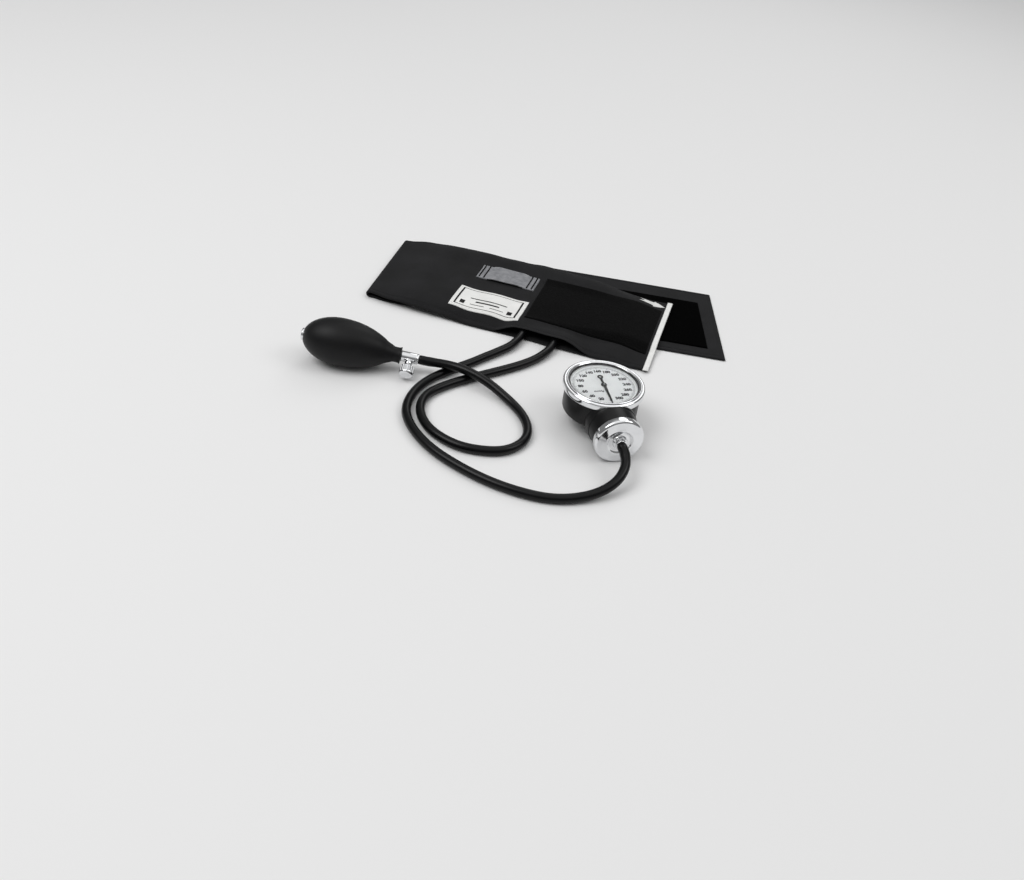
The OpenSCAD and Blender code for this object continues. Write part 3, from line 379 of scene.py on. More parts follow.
# Tubes: the routes of the CAD model, in metres, from the valve to the cuff and from the nipple to the cuff
tube = {
    "radius": 0.004,
    "bore": 0.0024,        # radius
    "barb": 0.013,         # length gripped by the barb at the metal end
    "swell": 0.00032,      # how far the barb's rings push the rubber out
    "ringPitch": 0.0036,
    "sides": 28,
    "steps": 6,            # between two points of the route
    "rounds": 6,           # of smoothing
    "bulbRoute": [
        (-0.0435, -0.161, 0.0135), (-0.0335, -0.1585, 0.0125), (-0.0215, -0.156, 0.0125),
        (-0.0095, -0.1555, 0.0125), (0.0025, -0.157, 0.0123), (0.0145, -0.1595, 0.011),
        (0.027, -0.163, 0.0085), (0.039, -0.1685, 0.006), (0.0515, -0.176, 0.0043),
        (0.063, -0.187, 0.004), (0.0715, -0.2005, 0.004), (0.075, -0.2155, 0.004),
        (0.0715, -0.2295, 0.004), (0.062, -0.241, 0.004), (0.047, -0.2475, 0.004),
        (0.03, -0.25, 0.004), (0.013, -0.2465, 0.004), (-0.0025, -0.2385, 0.004),
        (-0.015, -0.225, 0.004), (-0.0215, -0.209, 0.004), (-0.021, -0.192, 0.004),
        (-0.0125, -0.1755, 0.004), (-0.0015, -0.16, 0.004), (0.012, -0.1445, 0.004),
        (0.0245, -0.13, 0.004), (0.037, -0.1145, 0.004), (0.0475, -0.0985, 0.0042),
        (0.054, -0.083, 0.005), (0.056, -0.071, 0.0055), (0.056, -0.062, 0.0057),
        (0.056, -0.054, 0.0062),
    ],
    "gaugeRoute": [
        (0.153, -0.2135, 0.021), (0.1585, -0.2225, 0.0195), (0.1615, -0.234, 0.0155),
        (0.158, -0.248, 0.0105), (0.1475, -0.2615, 0.0065), (0.132, -0.273, 0.0045),
        (0.1135, -0.281, 0.004), (0.0925, -0.2835, 0.004), (0.0715, -0.2825, 0.004),
        (0.0505, -0.2785, 0.004), (0.03, -0.272, 0.004), (0.0115, -0.264, 0.004),
        (-0.0045, -0.2535, 0.004), (-0.018, -0.241, 0.004), (-0.028, -0.2265, 0.004),
        (-0.0325, -0.2105, 0.004), (-0.033, -0.1935, 0.004), (-0.0295, -0.1765, 0.004),
        (-0.0225, -0.16, 0.004), (-0.013, -0.1445, 0.004), (-0.0035, -0.1295, 0.004),
        (0.005, -0.114, 0.004), (0.0135, -0.0995, 0.0042), (0.021, -0.0855, 0.005),
        (0.0235, -0.072, 0.0055), (0.024, -0.062, 0.0057), (0.024, -0.054, 0.0062),
    ],
}


def smoothLine(points):
    # a curve through the points of a route, evened out a little
    line = []
    steps = tube["steps"]
    route = [Vector(p) for p in points]
    for i in range(len(route) - 1):
        before = route[max(i - 1, 0)]
        start, end = route[i], route[i + 1]
        after = route[min(i + 2, len(route) - 1)]
        for k in range(steps):
            u = k / steps
            line.append(0.5 * (
                2 * start + (end - before) * u + (2 * before - 5 * start + 4 * end - after) * u * u
                + (3 * start - 3 * end + after - before) * u ** 3))
    line.append(route[-1])
    for turn in range(tube["rounds"]):
        inner = [line[i] * 0.5 + (line[i - 1] + line[i + 1]) * 0.25 for i in range(1, len(line) - 1)]
        line = [line[0]] + inner + [line[-1]]
    return line


def makeTube(name, route):
    line = smoothLine(route)
    sides, radius = tube["sides"], tube["radius"]
    runs = [0]
    for a, b in zip(line, line[1:]):
        runs.append(runs[-1] + (b - a).length)
    bm = bmesh.new()
    uv = bm.loops.layers.uv.new("alongTube")
    rings = []
    across = Vector((0, 0, 1)).cross((line[1] - line[0]).normalized()).normalized()
    for i, point in enumerate(line):
        along = (line[min(i + 1, len(line) - 1)] - line[max(i - 1, 0)]).normalized()
        across = (across - along * across.dot(along)).normalized()
        over = along.cross(across)
        grip = smooth((tube["barb"] + 0.002 - runs[i]) / 0.002) * smooth((runs[i] + 0.001) / 0.003)
        ripple = 0.65 + 0.35 * math.cos((runs[i] - 0.004) / tube["ringPitch"] * 2 * math.pi)
        spread = radius + tube["swell"] * grip * ripple - 0.0003 * (i in (0, len(line) - 1))
        rings.append([
            bm.verts.new(point + (across * math.cos(a) + over * math.sin(a)) * spread)
            for a in (k * 2 * math.pi / sides for k in range(sides))])
    for i in range(len(rings) - 1):
        for k in range(sides):
            n = (k + 1) % sides
            face = bm.faces.new((rings[i][k], rings[i][n], rings[i + 1][n], rings[i + 1][k]))
            for loop, (u, v) in zip(face.loops, ((k, i), (k + 1, i), (k + 1, i + 1), (k, i + 1))):
                loop[uv].uv = (u / sides * 2 * math.pi * radius, runs[v])
    for ring, order in ((rings[0], -1), (rings[-1], 1)):
        centre = sum((v.co for v in ring), Vector()) / sides
        hole = [bm.verts.new(centre + (v.co - centre) * tube["bore"] / radius) for v in ring]
        for k in range(sides):
            n = (k + 1) % sides
            bm.faces.new((ring[k], ring[n], hole[n], hole[k])[::order])
        bm.faces.new(hole[::order])
    data = bpy.data.meshes.new(name)
    bm.to_mesh(data)
    bm.free()
    piece = bpy.data.objects.new(name, data)
    bpy.context.scene.collection.objects.link(piece)
    shade(piece, 50)
    return piece, line, runs[-1]


def tubeRubber():
    # extruded black rubber: an even gloss with a faint bloom of talc and fine draw lines along its length
    material, tree, shader = startMaterial(
        "black extruded rubber", Roughness=0.27, Specular_IOR_Level=0.2, Coat_Weight=0.04, Coat_Roughness=0.2)
    place = addNode(tree, "ShaderNodeTexCoord").outputs["UV"]
    bloom = clouds(tree, place, grains(14), 5, 0.6)
    tones(tree, shader, bloom, "#050506", "#0c0c0e", 0.35, 0.75)
    gloss(tree, shader, bloom, 0.2, 0.38)
    stretch = addNode(tree, "ShaderNodeMapping", values={"Scale": (grains(0.5), grains(18), 1)},
                      links={"Vector": place})
    bump(tree, shader, clouds(tree, stretch.outputs["Vector"], 1, 2), 0.25, 0.05)
    return material


deselect()
rubber = tubeRubber()
for name, route, node in (("bulbTube", tube["bulbRoute"], "bulb_tube"),
                          ("gaugeTube", tube["gaugeRoute"], "gauge_tube")):
    piece, line, length = makeTube(name, route)
    dress(piece, rubber, "tube_rubber", [node])
    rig.cord(piece, exit=route[0], length=length, diameter=tube["radius"] * 2, far_end="object",
            stiffness="medium", lay="loose", path=line)
    print(name, "laid,", round(length, 3), "m")


# Cuff: the strip of cloth is unrolled from the index end (s) and from its rear edge (v), in mm, and wrapped
# round the fold just as the CAD model does it, with finer folds, turned hems and seams on top
cuff = {
    "width": 130,
    "upper": 296,            # upper leaf along its rear edge
    "lower": 340,            # lower leaf
    "foldSkew": math.radians(4.5),
    "endSkew": math.radians(6),
    "ply": 1,
    "foldHeight": 8,
    "gap": 0.3,              # between two layers
    "pile": 1.2,             # height of the hooks
    "fill": 5,               # air left in the bag
    "tube": 8,
    "tubeAt": (56, 24),      # where the two tubes go in, along X
    "mouthRamp": (26, 34),   # how far the cloth takes to come down again, towards the fold and the index end
    "lip": 1.5,              # the raised edge draws back
    "foldRun": 110,          # the upper leaf comes down from the fold within this length
    "cell": 2.6,             # size of the cloth's mesh
    "skin": 0.45,            # thickness of one turned cloth layer
    "wrinkle": 0.5,
    "curl": 7,               # the rear edge stands up a little
    "drawn": 4,              # the ends of the fold draw in
    "hem": 4.5,              # seam to edge
}
halfWidth = cuff["width"] / 2
indexX = cuff["upper"] / 2 + 2
foldX = indexX - cuff["upper"]
outerR = (cuff["foldHeight"] - cuff["ply"]) / 2
innerR = outerR - cuff["ply"] - cuff["gap"]
outerLowZ = cuff["ply"] / 2
innerLowZ = outerLowZ + cuff["ply"] + cuff["gap"]
hookZ = innerLowZ + cuff["ply"] / 2 + cuff["gap"] / 2
restOnLeafZ = hookZ + cuff["pile"] + cuff["gap"] + cuff["ply"] / 2
restOnFloorZ = cuff["gap"] + cuff["ply"] / 2
innerTopZ = innerLowZ + 2 * innerR
sinSkew, cosSkew, tanSkew = (f(cuff["foldSkew"]) for f in (math.sin, math.cos, math.tan))

# what is sewn on the strip or lies in it: from s, to s, from v, to v
loopBox = (8, 131, 18, 102)
labelBox = (134.5, 206.5, 77.5, 117.5)
strapBox = (137.5, 199.5, 28, 54)
indexBox = (0, 5.6, -0.6, 132.4)
bladderBox = (28, 258, 13, 115)


def foldDistance(x, y):
    # the fold lies a little askew; this is how far a point of the upper leaf is from where it starts
    return (x - foldX) * cosSkew + (y - halfWidth) * sinSkew


def alongFold(x, y):
    return (x - foldX) * sinSkew - (y - halfWidth) * cosSkew


def fromFold(h, q, z):
    return Vector((foldX + h * cosSkew + q * sinSkew, halfWidth + h * sinSkew - q * cosSkew, z))


def lowerFrontY(x):
    # front edge of the lower leaf, which the askew fold turns by twice its own angle
    return -halfWidth + (x - foldX - cuff["width"] * tanSkew) * math.tan(2 * cuff["foldSkew"])


def mouthAlong(x):
    # 1 where the cloth is lifted over the two tubes, 0 away from them
    near, far = cuff["mouthRamp"]
    reach = cuff["tube"] / 2 + 2
    return (smooth((x - cuff["tubeAt"][1] + reach + near) / near)
            * smooth((cuff["tubeAt"][0] + reach + far - x) / far))


def mouthAcross(y):
    # 1 at the front edge, where the tubes come out
    return smooth((-halfWidth + 38 - y) / 30)


def pad(x, y):
    # room between the two cloths of the upper leaf, for the bag and the tubes
    across = max(1 - (abs(y) / halfWidth) ** 6, 0)
    along = smooth((foldDistance(x, y) - 8) / 40) * smooth((indexX - 4 - x) / 34)
    air = cuff["fill"] * across * along
    mouth = (cuff["tube"] + 2 * cuff["gap"]) * mouthAlong(x) * mouthAcross(y)
    return cuff["gap"] + (air ** 3 + mouth ** 3) ** (1 / 3)


def drape(x, y):
    # the cloth's own unevenness, the same for all layers of the upper leaf, and never below the CAD form:
    # broad swells, narrow ones across the cuff, puckers at the seams and the curl of the rear edge
    broad = noise.noise(Vector((x / 62, y / 48, 0.3))) + 0.6
    narrow = noise.noise(Vector((x / 24, y / 70, 4.1))) * 0.45
    seam = math.exp(-((halfWidth - abs(y) - 4) / 5) ** 2) * math.sin(x / 5.2 + 1.8 * math.sin(x / 23)) * 0.22
    lift = max(broad * 0.9 + narrow + seam + 0.2, 0) * cuff["wrinkle"] * 2
    curl = cuff["curl"] * smooth((y - 28) / 37) * smooth((indexX - 30 - x) / 60)
    return lift * smooth((foldDistance(x, y) + 2) / 30) + curl * smooth(foldDistance(x, y) / 80)


def innerZ(x, y):
    # the upper leaf comes down from the fold to the lower leaf, and in front of that to the table
    offLeaf = smooth((lowerFrontY(x) - 1 - y) / 16)
    flatZ = mix(restOnLeafZ, restOnFloorZ, offLeaf)
    return mix(innerTopZ, flatZ, smooth(foldDistance(x, y) / cuff["foldRun"])) + drape(x, y)


def outerZ(x, y):
    return innerZ(x, y) + cuff["ply"] + pad(x, y)


def edgeWave(x, y):
    # sewn edges run a little in and out
    near = smooth((abs(y) - 45) / 20)
    return near * (1.2 * math.sin(x / 24 + 0.7) + 0.6 * math.sin(x / 11.5)) * (1 if y > 0 else 0.7)


def plyPoint(s, v, off, outer):
    # place of a point of the strip, off mm out from the middle of the outer or inner cloth
    r, lowZ = (outerR, outerLowZ) if outer else (innerR, innerLowZ)
    x, y = indexX - s, halfWidth - v
    d = foldDistance(x, y)
    q = alongFold(x, y)
    angle = -d / r
    beyond = max(d, -d - math.pi * r, 0)
    drawn = (q - halfWidth) / halfWidth * cuff["drawn"] * math.exp(-(beyond / 13) ** 2)
    if d >= 0:
        lip = cuff["lip"] * mouthAlong(x) * (v / cuff["width"]) ** 12 if outer else 0
        wave = edgeWave(x, y) * smooth(d / 40)
        z = outerZ(x, y) if outer else innerZ(x, y)
        return Vector((x, y + lip + wave + drawn, z + off))
    q -= drawn
    if angle < math.pi:
        return fromFold(-(r + off) * math.sin(angle), q, lowZ + r + (r + off) * math.cos(angle))
    return fromFold(-d - math.pi * r, q, lowZ - off)


def shearOf(s):
    # how far the strip's rows lean: not at the index end, with the fold at the fold, and the other way
    # at the end of the lower leaf
    if s < cuff["upper"]:
        return smooth((s - labelBox[1]) / 65)
    start = cuff["upper"] + math.pi * outerR / cosSkew
    u = min(max((s - start) / (cuff["upper"] + cuff["lower"] - start), 0), 1)
    return mix(1, -math.tan(cuff["endSkew"]) / tanSkew, u)


def spaced(low, high, cell):
    count = max(round((high - low) / cell), 1)
    return [mix(low, high, k / count) for k in range(count + 1)]


def crowded(low, high, edge, inset, cell):
    # even spacing, with closer rows at both ends, where an edge is rounded and sewn
    return ([low + h for h in edge] + spaced(low + inset, high - inset, cell)
            + [high - h for h in edge[::-1]])


def rounded(u, size):
    # height of a rounded edge, as a share, at a distance from it
    return math.sqrt(max(1 - (1 - min(u / size, 1)) ** 2, 0))


def clothGrid(name, rows, cols, place, cloth=None):
    # one face for each cell of the strip, with a UV map in metres along the cloth
    points = [place(s, v) for s in rows for v in cols]
    wide = len(cols)
    faces = [
        (i * wide + j, (i + 1) * wide + j, (i + 1) * wide + j + 1, i * wide + j + 1)
        for i in range(len(rows) - 1) for j in range(wide - 1)]
    piece = meshPiece(name, points, faces)
    uv = piece.data.uv_layers.new(name="cloth")
    for loop in piece.data.loops:
        s, v = rows[loop.vertex_index // wide], cols[loop.vertex_index % wide]
        uv.data[loop.index].uv = Vector(cloth(s, v) if cloth else (s, v)) * mm
    shade(piece, 60)
    return piece


def faceOut(piece, side):
    # the finished side of a grid looks away from the fold's inside, or into it
    if side < 0:
        piece.data.flip_normals()
    return piece


def makePly(name, outer):
    width, length = cuff["width"], cuff["upper"] + cuff["lower"]
    foldEnd = cuff["upper"] + math.pi * outerR / cosSkew
    hem = cuff["hem"]
    edge = [0, 0.06, 0.2, 0.45, 0.8, 1.3, hem - 1.4, hem - 0.7, hem, hem + 0.7, hem + 1.4]
    rows = (edge + spaced(hem + 3, cuff["upper"] - 2, cuff["cell"]) + spaced(cuff["upper"], foldEnd, 0.8)
            + spaced(foldEnd + 2, length - hem - 3, cuff["cell"]) + [length - h for h in edge[::-1]])
    cols = crowded(0, width, edge, hem + 3, cuff["cell"])
    side = 1 if outer else -1
    meeting = cuff["ply"] + cuff["gap"] / 2

    def onStrip(s, v):
        return s - v * tanSkew * shearOf(s), v

    def place(s, v):
        strip = onStrip(s, v)[0]
        border = min(v, width - v, s, length - s)
        atMouth = width - v < 2 and foldDistance(indexX - strip, halfWidth - v) > 0
        depth = mix(meeting, cuff["ply"] / 2, mouthAlong(indexX - strip) if atMouth else 0)
        sunk = (1 - rounded(border, 1.3)) * depth + 0.3 * math.exp(-((border - hem) / 0.8) ** 2)
        return plyPoint(strip, v, side * (cuff["ply"] / 2 - sunk), outer)

    piece = faceOut(clothGrid(name, rows, cols, place, onStrip), side)
    applyModifier(piece, "SOLIDIFY", thickness=cuff["skin"] * mm, offset=-1)
    return piece


def makePatch(name, box, thick, rise=None, sway=None, cell=2.2, edge=0.9, seam=2.6, rough=0, skin=0.3,
              sunk=0.3):
    # a patch sewn on the outside of the upper leaf: rounded cut edges drawn down by their stitches
    s0, s1, v0, v1 = box
    lines = [0, 0.15, 0.45, edge, seam - 0.6, seam, seam + 0.6]

    def across(low, high):
        if high - low < 4 * seam:
            return spaced(low, high, 0.5)
        return crowded(low, high, lines, seam + 1.8, cell)

    def place(s, v):
        border = min(s - s0, s1 - s, v - v0, v1 - v)
        free = rise(s, v) if rise else 0
        height = cuff["gap"] + thick + free
        if free <= 0.3:
            height -= (1 - rounded(border, edge)) * (thick + cuff["gap"] + 0.05)
        height -= sunk * math.exp(-((border - seam) / 0.7) ** 2)
        height += rough * noise.noise(Vector((s / 0.9, v / 0.9, 2.2))) * smooth(border / 2)
        return plyPoint(s, v + (sway(s, v) if sway else 0), cuff["ply"] / 2 + height, True)

    piece = clothGrid(name, across(s0, s1), across(v0, v1), place)
    applyModifier(piece, "SOLIDIFY", thickness=skin * mm, offset=-1)
    return piece


def strapRise(s, v):
    # the webbing stands off the cuff between its two sewn ends, so that a gauge's clip slides under it
    ends = min(s - strapBox[0], strapBox[1] - s)
    return 1.5 * smooth((ends - 9) / 10)


def labelSway(s, v):
    # the label's long edges run in gentle waves
    return 0.9 * math.sin(s / 7.5 + v / 60) * smooth(min(s - labelBox[0], labelBox[1] - s) / 12)


def panelSway(s, v):
    # the loop panel is sewn on a little askew, nearer the front edge towards the fold
    return 2 + 4 * (s - loopBox[0]) / (loopBox[1] - loopBox[0])


hook = {
    "start": 174,      # on the lower leaf, counted from the fold
    "far": 324,
    "rear": 25,        # counted from the rear edge
    "front": 115,
    "cell": 2.2,
}


def hookPoint(u, v, up):
    turn = 2 * cuff["foldSkew"]
    x0 = foldX - math.pi * innerR * cosSkew
    y0 = halfWidth - math.pi * innerR * sinSkew
    return Vector((x0 + u * math.cos(turn) + v * math.sin(turn), y0 + u * math.sin(turn) - v * math.cos(turn),
                   hookZ + up))


def makeHookPanel():
    edge, inset = [0, 0.15, 0.45, 0.9, 1.8], 4
    rear, front = hook["rear"], hook["front"]
    cols = crowded(rear, front, edge, inset, hook["cell"])
    span = hook["far"] - hook["start"]
    rows = crowded(0, 1, [h / span for h in edge], inset / span, hook["cell"] / span)

    def unrolled(share, v):
        return mix(hook["start"], hook["far"] + v * math.tan(cuff["endSkew"]), share), v

    def place(share, v):
        u = unrolled(share, v)[0]
        border = min(share * span, (1 - share) * span, v - rear, front - v)
        top = cuff["pile"] - (1 - rounded(border, 0.9)) * (cuff["pile"] + 0.2)
        return hookPoint(u, v, top + 0.05 * noise.noise(Vector((u / 0.9, v / 0.9, 7))))

    piece = faceOut(clothGrid("hookPanel", rows, cols, place, unrolled), -1)
    applyModifier(piece, "SOLIDIFY", thickness=0.3 * mm, offset=-1)
    return piece


def onTop(s, v, up):
    # a point of the upper leaf's top side
    return plyPoint(s, v, cuff["ply"] / 2 + up, True)


def makePrint(name, rows, cols, place):
    piece = clothGrid(name, rows, cols, place)
    applyModifier(piece, "SOLIDIFY", thickness=0.04 * mm, offset=-1)
    return piece


def makeArrow():
    # points at the index tape
    arrow = {"tail": 34, "tip": 6.4, "tailV": 8.6, "tipV": 11, "shaft": 4, "head": 6.8, "neck": 0.56,
             "notch": 6}
    rows = [0, 0.1, 0.2, 0.3, 0.45, 0.55, 0.565, 0.65, 0.75, 0.85, 0.94, 1]
    cols = [k / 4 for k in range(-4, 5)]

    def place(t, u):
        half = arrow["shaft"] if t < arrow["neck"] else arrow["head"] * (1 - t) / (1 - arrow["neck"])
        s = mix(arrow["tail"], arrow["tip"], t) - arrow["notch"] * (1 - abs(u)) * smooth((0.3 - t) / 0.3)
        return onTop(s, mix(arrow["tailV"], arrow["tipV"], t) + u * half, 0.09)      # just off the cloth

    return makePrint("arrowPrint", rows, cols, place)


def makeLabelPrint():
    # a frame line, broader at both ends, and plain bars where such a label is printed
    s0, s1, v0, v1 = labelBox
    bands = [
        (s0 + 4, s0 + 5.8, v0 + 3.6, v1 - 3.6), (s1 - 5.8, s1 - 4, v0 + 3.6, v1 - 3.6),
        (s0 + 4, s1 - 4, v0 + 3.6, v0 + 4.2), (s0 + 4, s1 - 4, v1 - 4.2, v1 - 3.6),
        (s0 + 9, s0 + 14, v1 - 13, v1 - 7), (s1 - 14, s1 - 9, v1 - 13, v1 - 7),
        (s0 + 17, s1 - 17, v0 + 19, v0 + 20.4), (s0 + 24, s1 - 24, v0 + 24, v0 + 26.2),
        (s0 + 18, s0 + 32, v1 - 9.5, v1 - 8.7), (s1 - 34, s1 - 20, v1 - 9.5, v1 - 8.7)]
    pieces = [
        makePrint("labelPrint", spaced(a, b, 2), spaced(c, d, 2),
                  lambda s, v: onTop(s, v + labelSway(s, v), cuff["gap"] + 0.65))
        for a, b, c, d in bands]
    return joinPieces("labelPrint", pieces)


def makeStitches(name, runs, width):
    # one dash of thread is modelled, and copied along each run of points
    above = Vector((0, 0, 1))
    deselect()
    bpy.ops.mesh.primitive_uv_sphere_add(segments=6, ring_count=4, radius=mm)
    dash = bpy.context.object
    dashPoints = [v.co.copy() for v in dash.data.vertices]
    dashFaces = [tuple(f.vertices) for f in dash.data.polygons]
    bpy.data.objects.remove(dash)
    points, faces = [], []
    for line in runs:
        for a, b in zip(line[::2], line[1::2]):
            along = (b - a) / 2
            forward = along.normalized()
            up = (above - forward * above.dot(forward)).normalized()
            side = forward.cross(up)
            base = len(points)
            for p in dashPoints:
                local = p / mm
                points.append((a + b) / 2 + along * local.x + (side * local.y + up * local.z) * width / 2)
            faces += [tuple(base + k for k in face) for face in dashFaces]
    piece = meshPiece(name, points, faces)
    shade(piece, 80)
    return piece


def seamRun(start, end, place, pitch=2.6, share=0.66):
    # ends of the dashes between two points of the strip, each dash a share of the pitch long
    length = (Vector(end) - Vector(start)).length
    count = max(int(length / pitch), 1)
    shares = [(k + 0.5 + side * share / 2) / count for k in range(count) for side in (-1, 1)]
    return [place(mix(start[0], end[0], u), mix(start[1], end[1], u)) for u in shares]


def boxRuns(box, inset, place):
    # seams along the four sides of a patch
    s0, s1, v0, v1 = box[0] + inset, box[1] - inset, box[2] + inset, box[3] - inset
    corners = [(s0, v0), (s1, v0), (s1, v1), (s0, v1), (s0, v0)]
    return [seamRun(a, b, place) for a, b in zip(corners, corners[1:])]


def makeAirBag():
    # welded rubber bag between the two cloths, with a spigot in each tube
    s0, s1, v0, v1 = bladderBox
    rows, cols = (crowded(low, high, [0, 0.3, 1, 3], 6, 4) for low, high in ((s0, s1), (v0, v1)))

    def bagPoint(s, v, side):
        strip = s - v * tanSkew * shearOf(s)
        x, y = indexX - strip, halfWidth - v
        room = pad(x, y)
        edge = smooth(min(s - s0, s1 - s) / 20) * smooth(min(v - v0, v1 - v) / 16)
        half = mix(min(1.2, room - 2 * cuff["gap"]) / 2, room / 2 - cuff["gap"] - 0.2, edge)
        half *= max(rounded(min(s - s0, s1 - s, v - v0, v1 - v), 0.6), 0.02)
        return Vector((x, y, innerZ(x, y) + cuff["ply"] / 2 + room / 2 + side * half))

    top = clothGrid("airBladder", rows, cols, lambda s, v: bagPoint(s, v, 1))
    under = faceOut(clothGrid("bagUnder", rows, cols, lambda s, v: bagPoint(s, v, -1)), -1)
    bag = joinPieces("airBladder", [top, under])
    editMesh(bag)
    bpy.ops.mesh.remove_doubles(threshold=0.03 * mm)
    leaveEdit()
    spigots = []
    for x in cuff["tubeAt"]:
        deselect()
        bpy.ops.mesh.primitive_cylinder_add(
            vertices=20, radius=2.1 * mm, depth=8 * mm, location=(x * mm, -52.5 * mm, 6.2 * mm),
            rotation=(math.pi / 2, 0, 0))
        spigots.append(bpy.context.object)
        settle(spigots[-1])
    return joinPieces("airBladder", [bag] + spigots)


# Cloths of the cuff. Thread counts too fine for the picture are drawn about twice as coarse as they are.
packCloth = weave("nylon pack cloth, plain weave", "#0f0f10", "#1a1a1c", 0.75, 0.05)
lining = weave("nylon lining, plain weave", "#101011", "#1b1b1d", 0.65, 0.05)
whiteTape = weave("cotton tape, twill", "#e2e2e0", "#f4f4f2", 1.1, 0.06, 0.8, sheen=0.1, patch=8)
webbing = weave("polyester webbing", "#727377", "#97989b", 1.2, 0.12, 0.75, sheen=0.1, patch=6)
labelCloth = weave("woven polyester label", "#e6e6e4", "#f2f2f0", 0.5, 0.02, 0.65, sheen=0.1, patch=20)


def pileCloth(name, low, high, size, depth, sheen):
    # loops or hooks: grain in all directions, painted shade between the tufts, and thin brushed tracks
    material, tree, shader = startMaterial(
        name, Roughness=0.95, Sheen_Weight=sheen, Sheen_Roughness=0.6, Specular_IOR_Level=0.03)
    place = addNode(tree, "ShaderNodeTexCoord").outputs["UV"]
    tufts = addNode(tree, "ShaderNodeTexVoronoi", values={"Scale": grains(size), "Randomness": 0.9},
                    links={"Vector": place}, feature="F1")
    tracks = clouds(tree, place, grains(9), 6, 0.7)
    height = addNode(tree, "ShaderNodeMath", values={1: -1.1}, operation="MULTIPLY_ADD", links={
        0: tufts.outputs["Distance"], 2: tracks}).outputs[0]
    # base colour follows the height: painted shade in the low places between the tufts, plus the real tone of the
    # brushed tracks
    tones(tree, shader, height, low, high, 0, 0.5)
    bump(tree, shader, height, 0.8, depth)
    return material


loopPile = pileCloth("nylon loop pile, brushed", "#030303", "#0e0e0f", 1.1, 0.5, 0.03)
hookTape = pileCloth("nylon hook tape", "#010101", "#060607", 0.9, 0.3, 0)


def plain(name, low, high, size, roughness, level=0.3):
    # a material of nearly one colour, with faint blotches and a fine grain of a real size in mm
    material, tree, shader = startMaterial(name, Roughness=roughness, Specular_IOR_Level=level)
    place = addNode(tree, "ShaderNodeTexCoord").outputs["Object"]
    tones(tree, shader, clouds(tree, place, grains(size), 5, 0.6), low, high, 0.35, 0.7)
    bump(tree, shader, clouds(tree, place, grains(size / 12), 3), 0.15, size / 150)
    return material


darkInk = plain("black ink on cloth", "#141415", "#222224", 5, 0.7)
whiteInk = plain("white ink on cloth", "#d6d6d4", "#ececea", 5, 0.7)
thread = plain("bonded nylon thread", "#161618", "#262629", 2, 0.6)
blackThread = plain("heavy bonded thread", "#050506", "#0d0d0e", 2, 0.6, level=0.2)
whiteThread = plain("white polyester thread", "#d8d8d6", "#ececea", 2, 0.6)
bagRubber = plain("moulded bag rubber", "#141415", "#1e1e20", 12, 0.6)

outerCloth = dress(makePly("outerCloth", True), packCloth, "nylon_cloth", ["cuff_outer_cloth"])
innerCloth = dress(makePly("innerCloth", False), lining, "nylon_lining", ["cuff_inner_cloth"])
airBladder = dress(makeAirBag(), bagRubber, "bladder_rubber", ["bladder"])
loopPanel = dress(
    makePatch("loopPanel", loopBox, 0.9, sway=panelSway, cell=1.4, edge=1.8, rough=0.12, sunk=0.1),
    loopPile, "loop_pile", ["loop_panel"])
hookPanel = dress(makeHookPanel(), hookTape, "hook_tape", ["hook_panel"])
indexTape = dress(
    makePatch("indexTape", indexBox, 0.8, seam=1.6), whiteTape, "white_tape", ["index_tape"])
gaugeStrap = dress(
    makePatch("gaugeStrap", strapBox, 1.2, rise=strapRise, cell=1, skin=1.1),
    webbing, "grey_webbing", ["gauge_strap"])
labelPatch = dress(
    makePatch("labelPatch", labelBox, 0.5, sway=labelSway, seam=2, sunk=0.12),
    labelCloth, "white_label", ["label_patch"])
arrowPrint = dress(makeArrow(), whiteInk, "white_label")
labelPrint = dress(makeLabelPrint(), darkInk, "needle_black")

seams = {
    "edges": (cuff["hem"], cuff["width"] - cuff["hem"]),             # along the rear and the front edge
    "edgeEnds": (cuff["upper"] - 4, cuff["upper"] - 14),             # short of the fold
    "strap": (strapBox[0] + 2.8, strapBox[0] + 7.8, strapBox[1] - 7.8, strapBox[1] - 2.8),
    "cuffThread": 0.45,      # widths of the threads
    "strapThread": 1.7,
    "labelThread": 0.3,
}
edgeRuns = [seamRun((8, v), (end, v), lambda s, v: onTop(s, v, -0.12))
            for v, end in zip(seams["edges"], seams["edgeEnds"])]
loopRuns = boxRuns(loopBox, -1.6, lambda s, v: onTop(s, v + panelSway(s, v), 0.12))[1:]
hookRuns = [seamRun((hook["start"] + 2, v), (cuff["lower"] - 4, v), lambda u, v: hookPoint(u, v, 0.02))
            for v in seams["edges"]]
strapRuns = [seamRun((s, strapBox[2] + 0.6), (s, strapBox[3] - 0.6), lambda s, v: onTop(s, v, 1.6), 1.6, 1)
             for s in seams["strap"]]
labelRuns = boxRuns(labelBox, 2, lambda s, v: onTop(s, v + labelSway(s, v), cuff["gap"] + 0.5))
cuffStitches = dress(
    makeStitches("cuffStitches", edgeRuns + loopRuns + hookRuns, seams["cuffThread"]), thread, "nylon_cloth")
strapStitches = dress(
    makeStitches("strapStitches", strapRuns, seams["strapThread"]), blackThread, "nylon_cloth")
labelStitches = dress(
    makeStitches("labelStitches", labelRuns, seams["labelThread"]), whiteThread, "white_label")

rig.padded(airBladder, fill=0.2)
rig.sheet(outerCloth, flat=(0.13, 0.647), held="folded", rests_on=["airBladder"],
         with_pieces=[loopPanel, indexTape, gaugeStrap, labelPatch, arrowPrint, labelPrint, cuffStitches,
                      strapStitches, labelStitches])
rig.sheet(innerCloth, flat=(0.13, 0.643), held="folded", rests_on=["outerCloth"], with_pieces=[hookPanel])
print("cuff sewn")


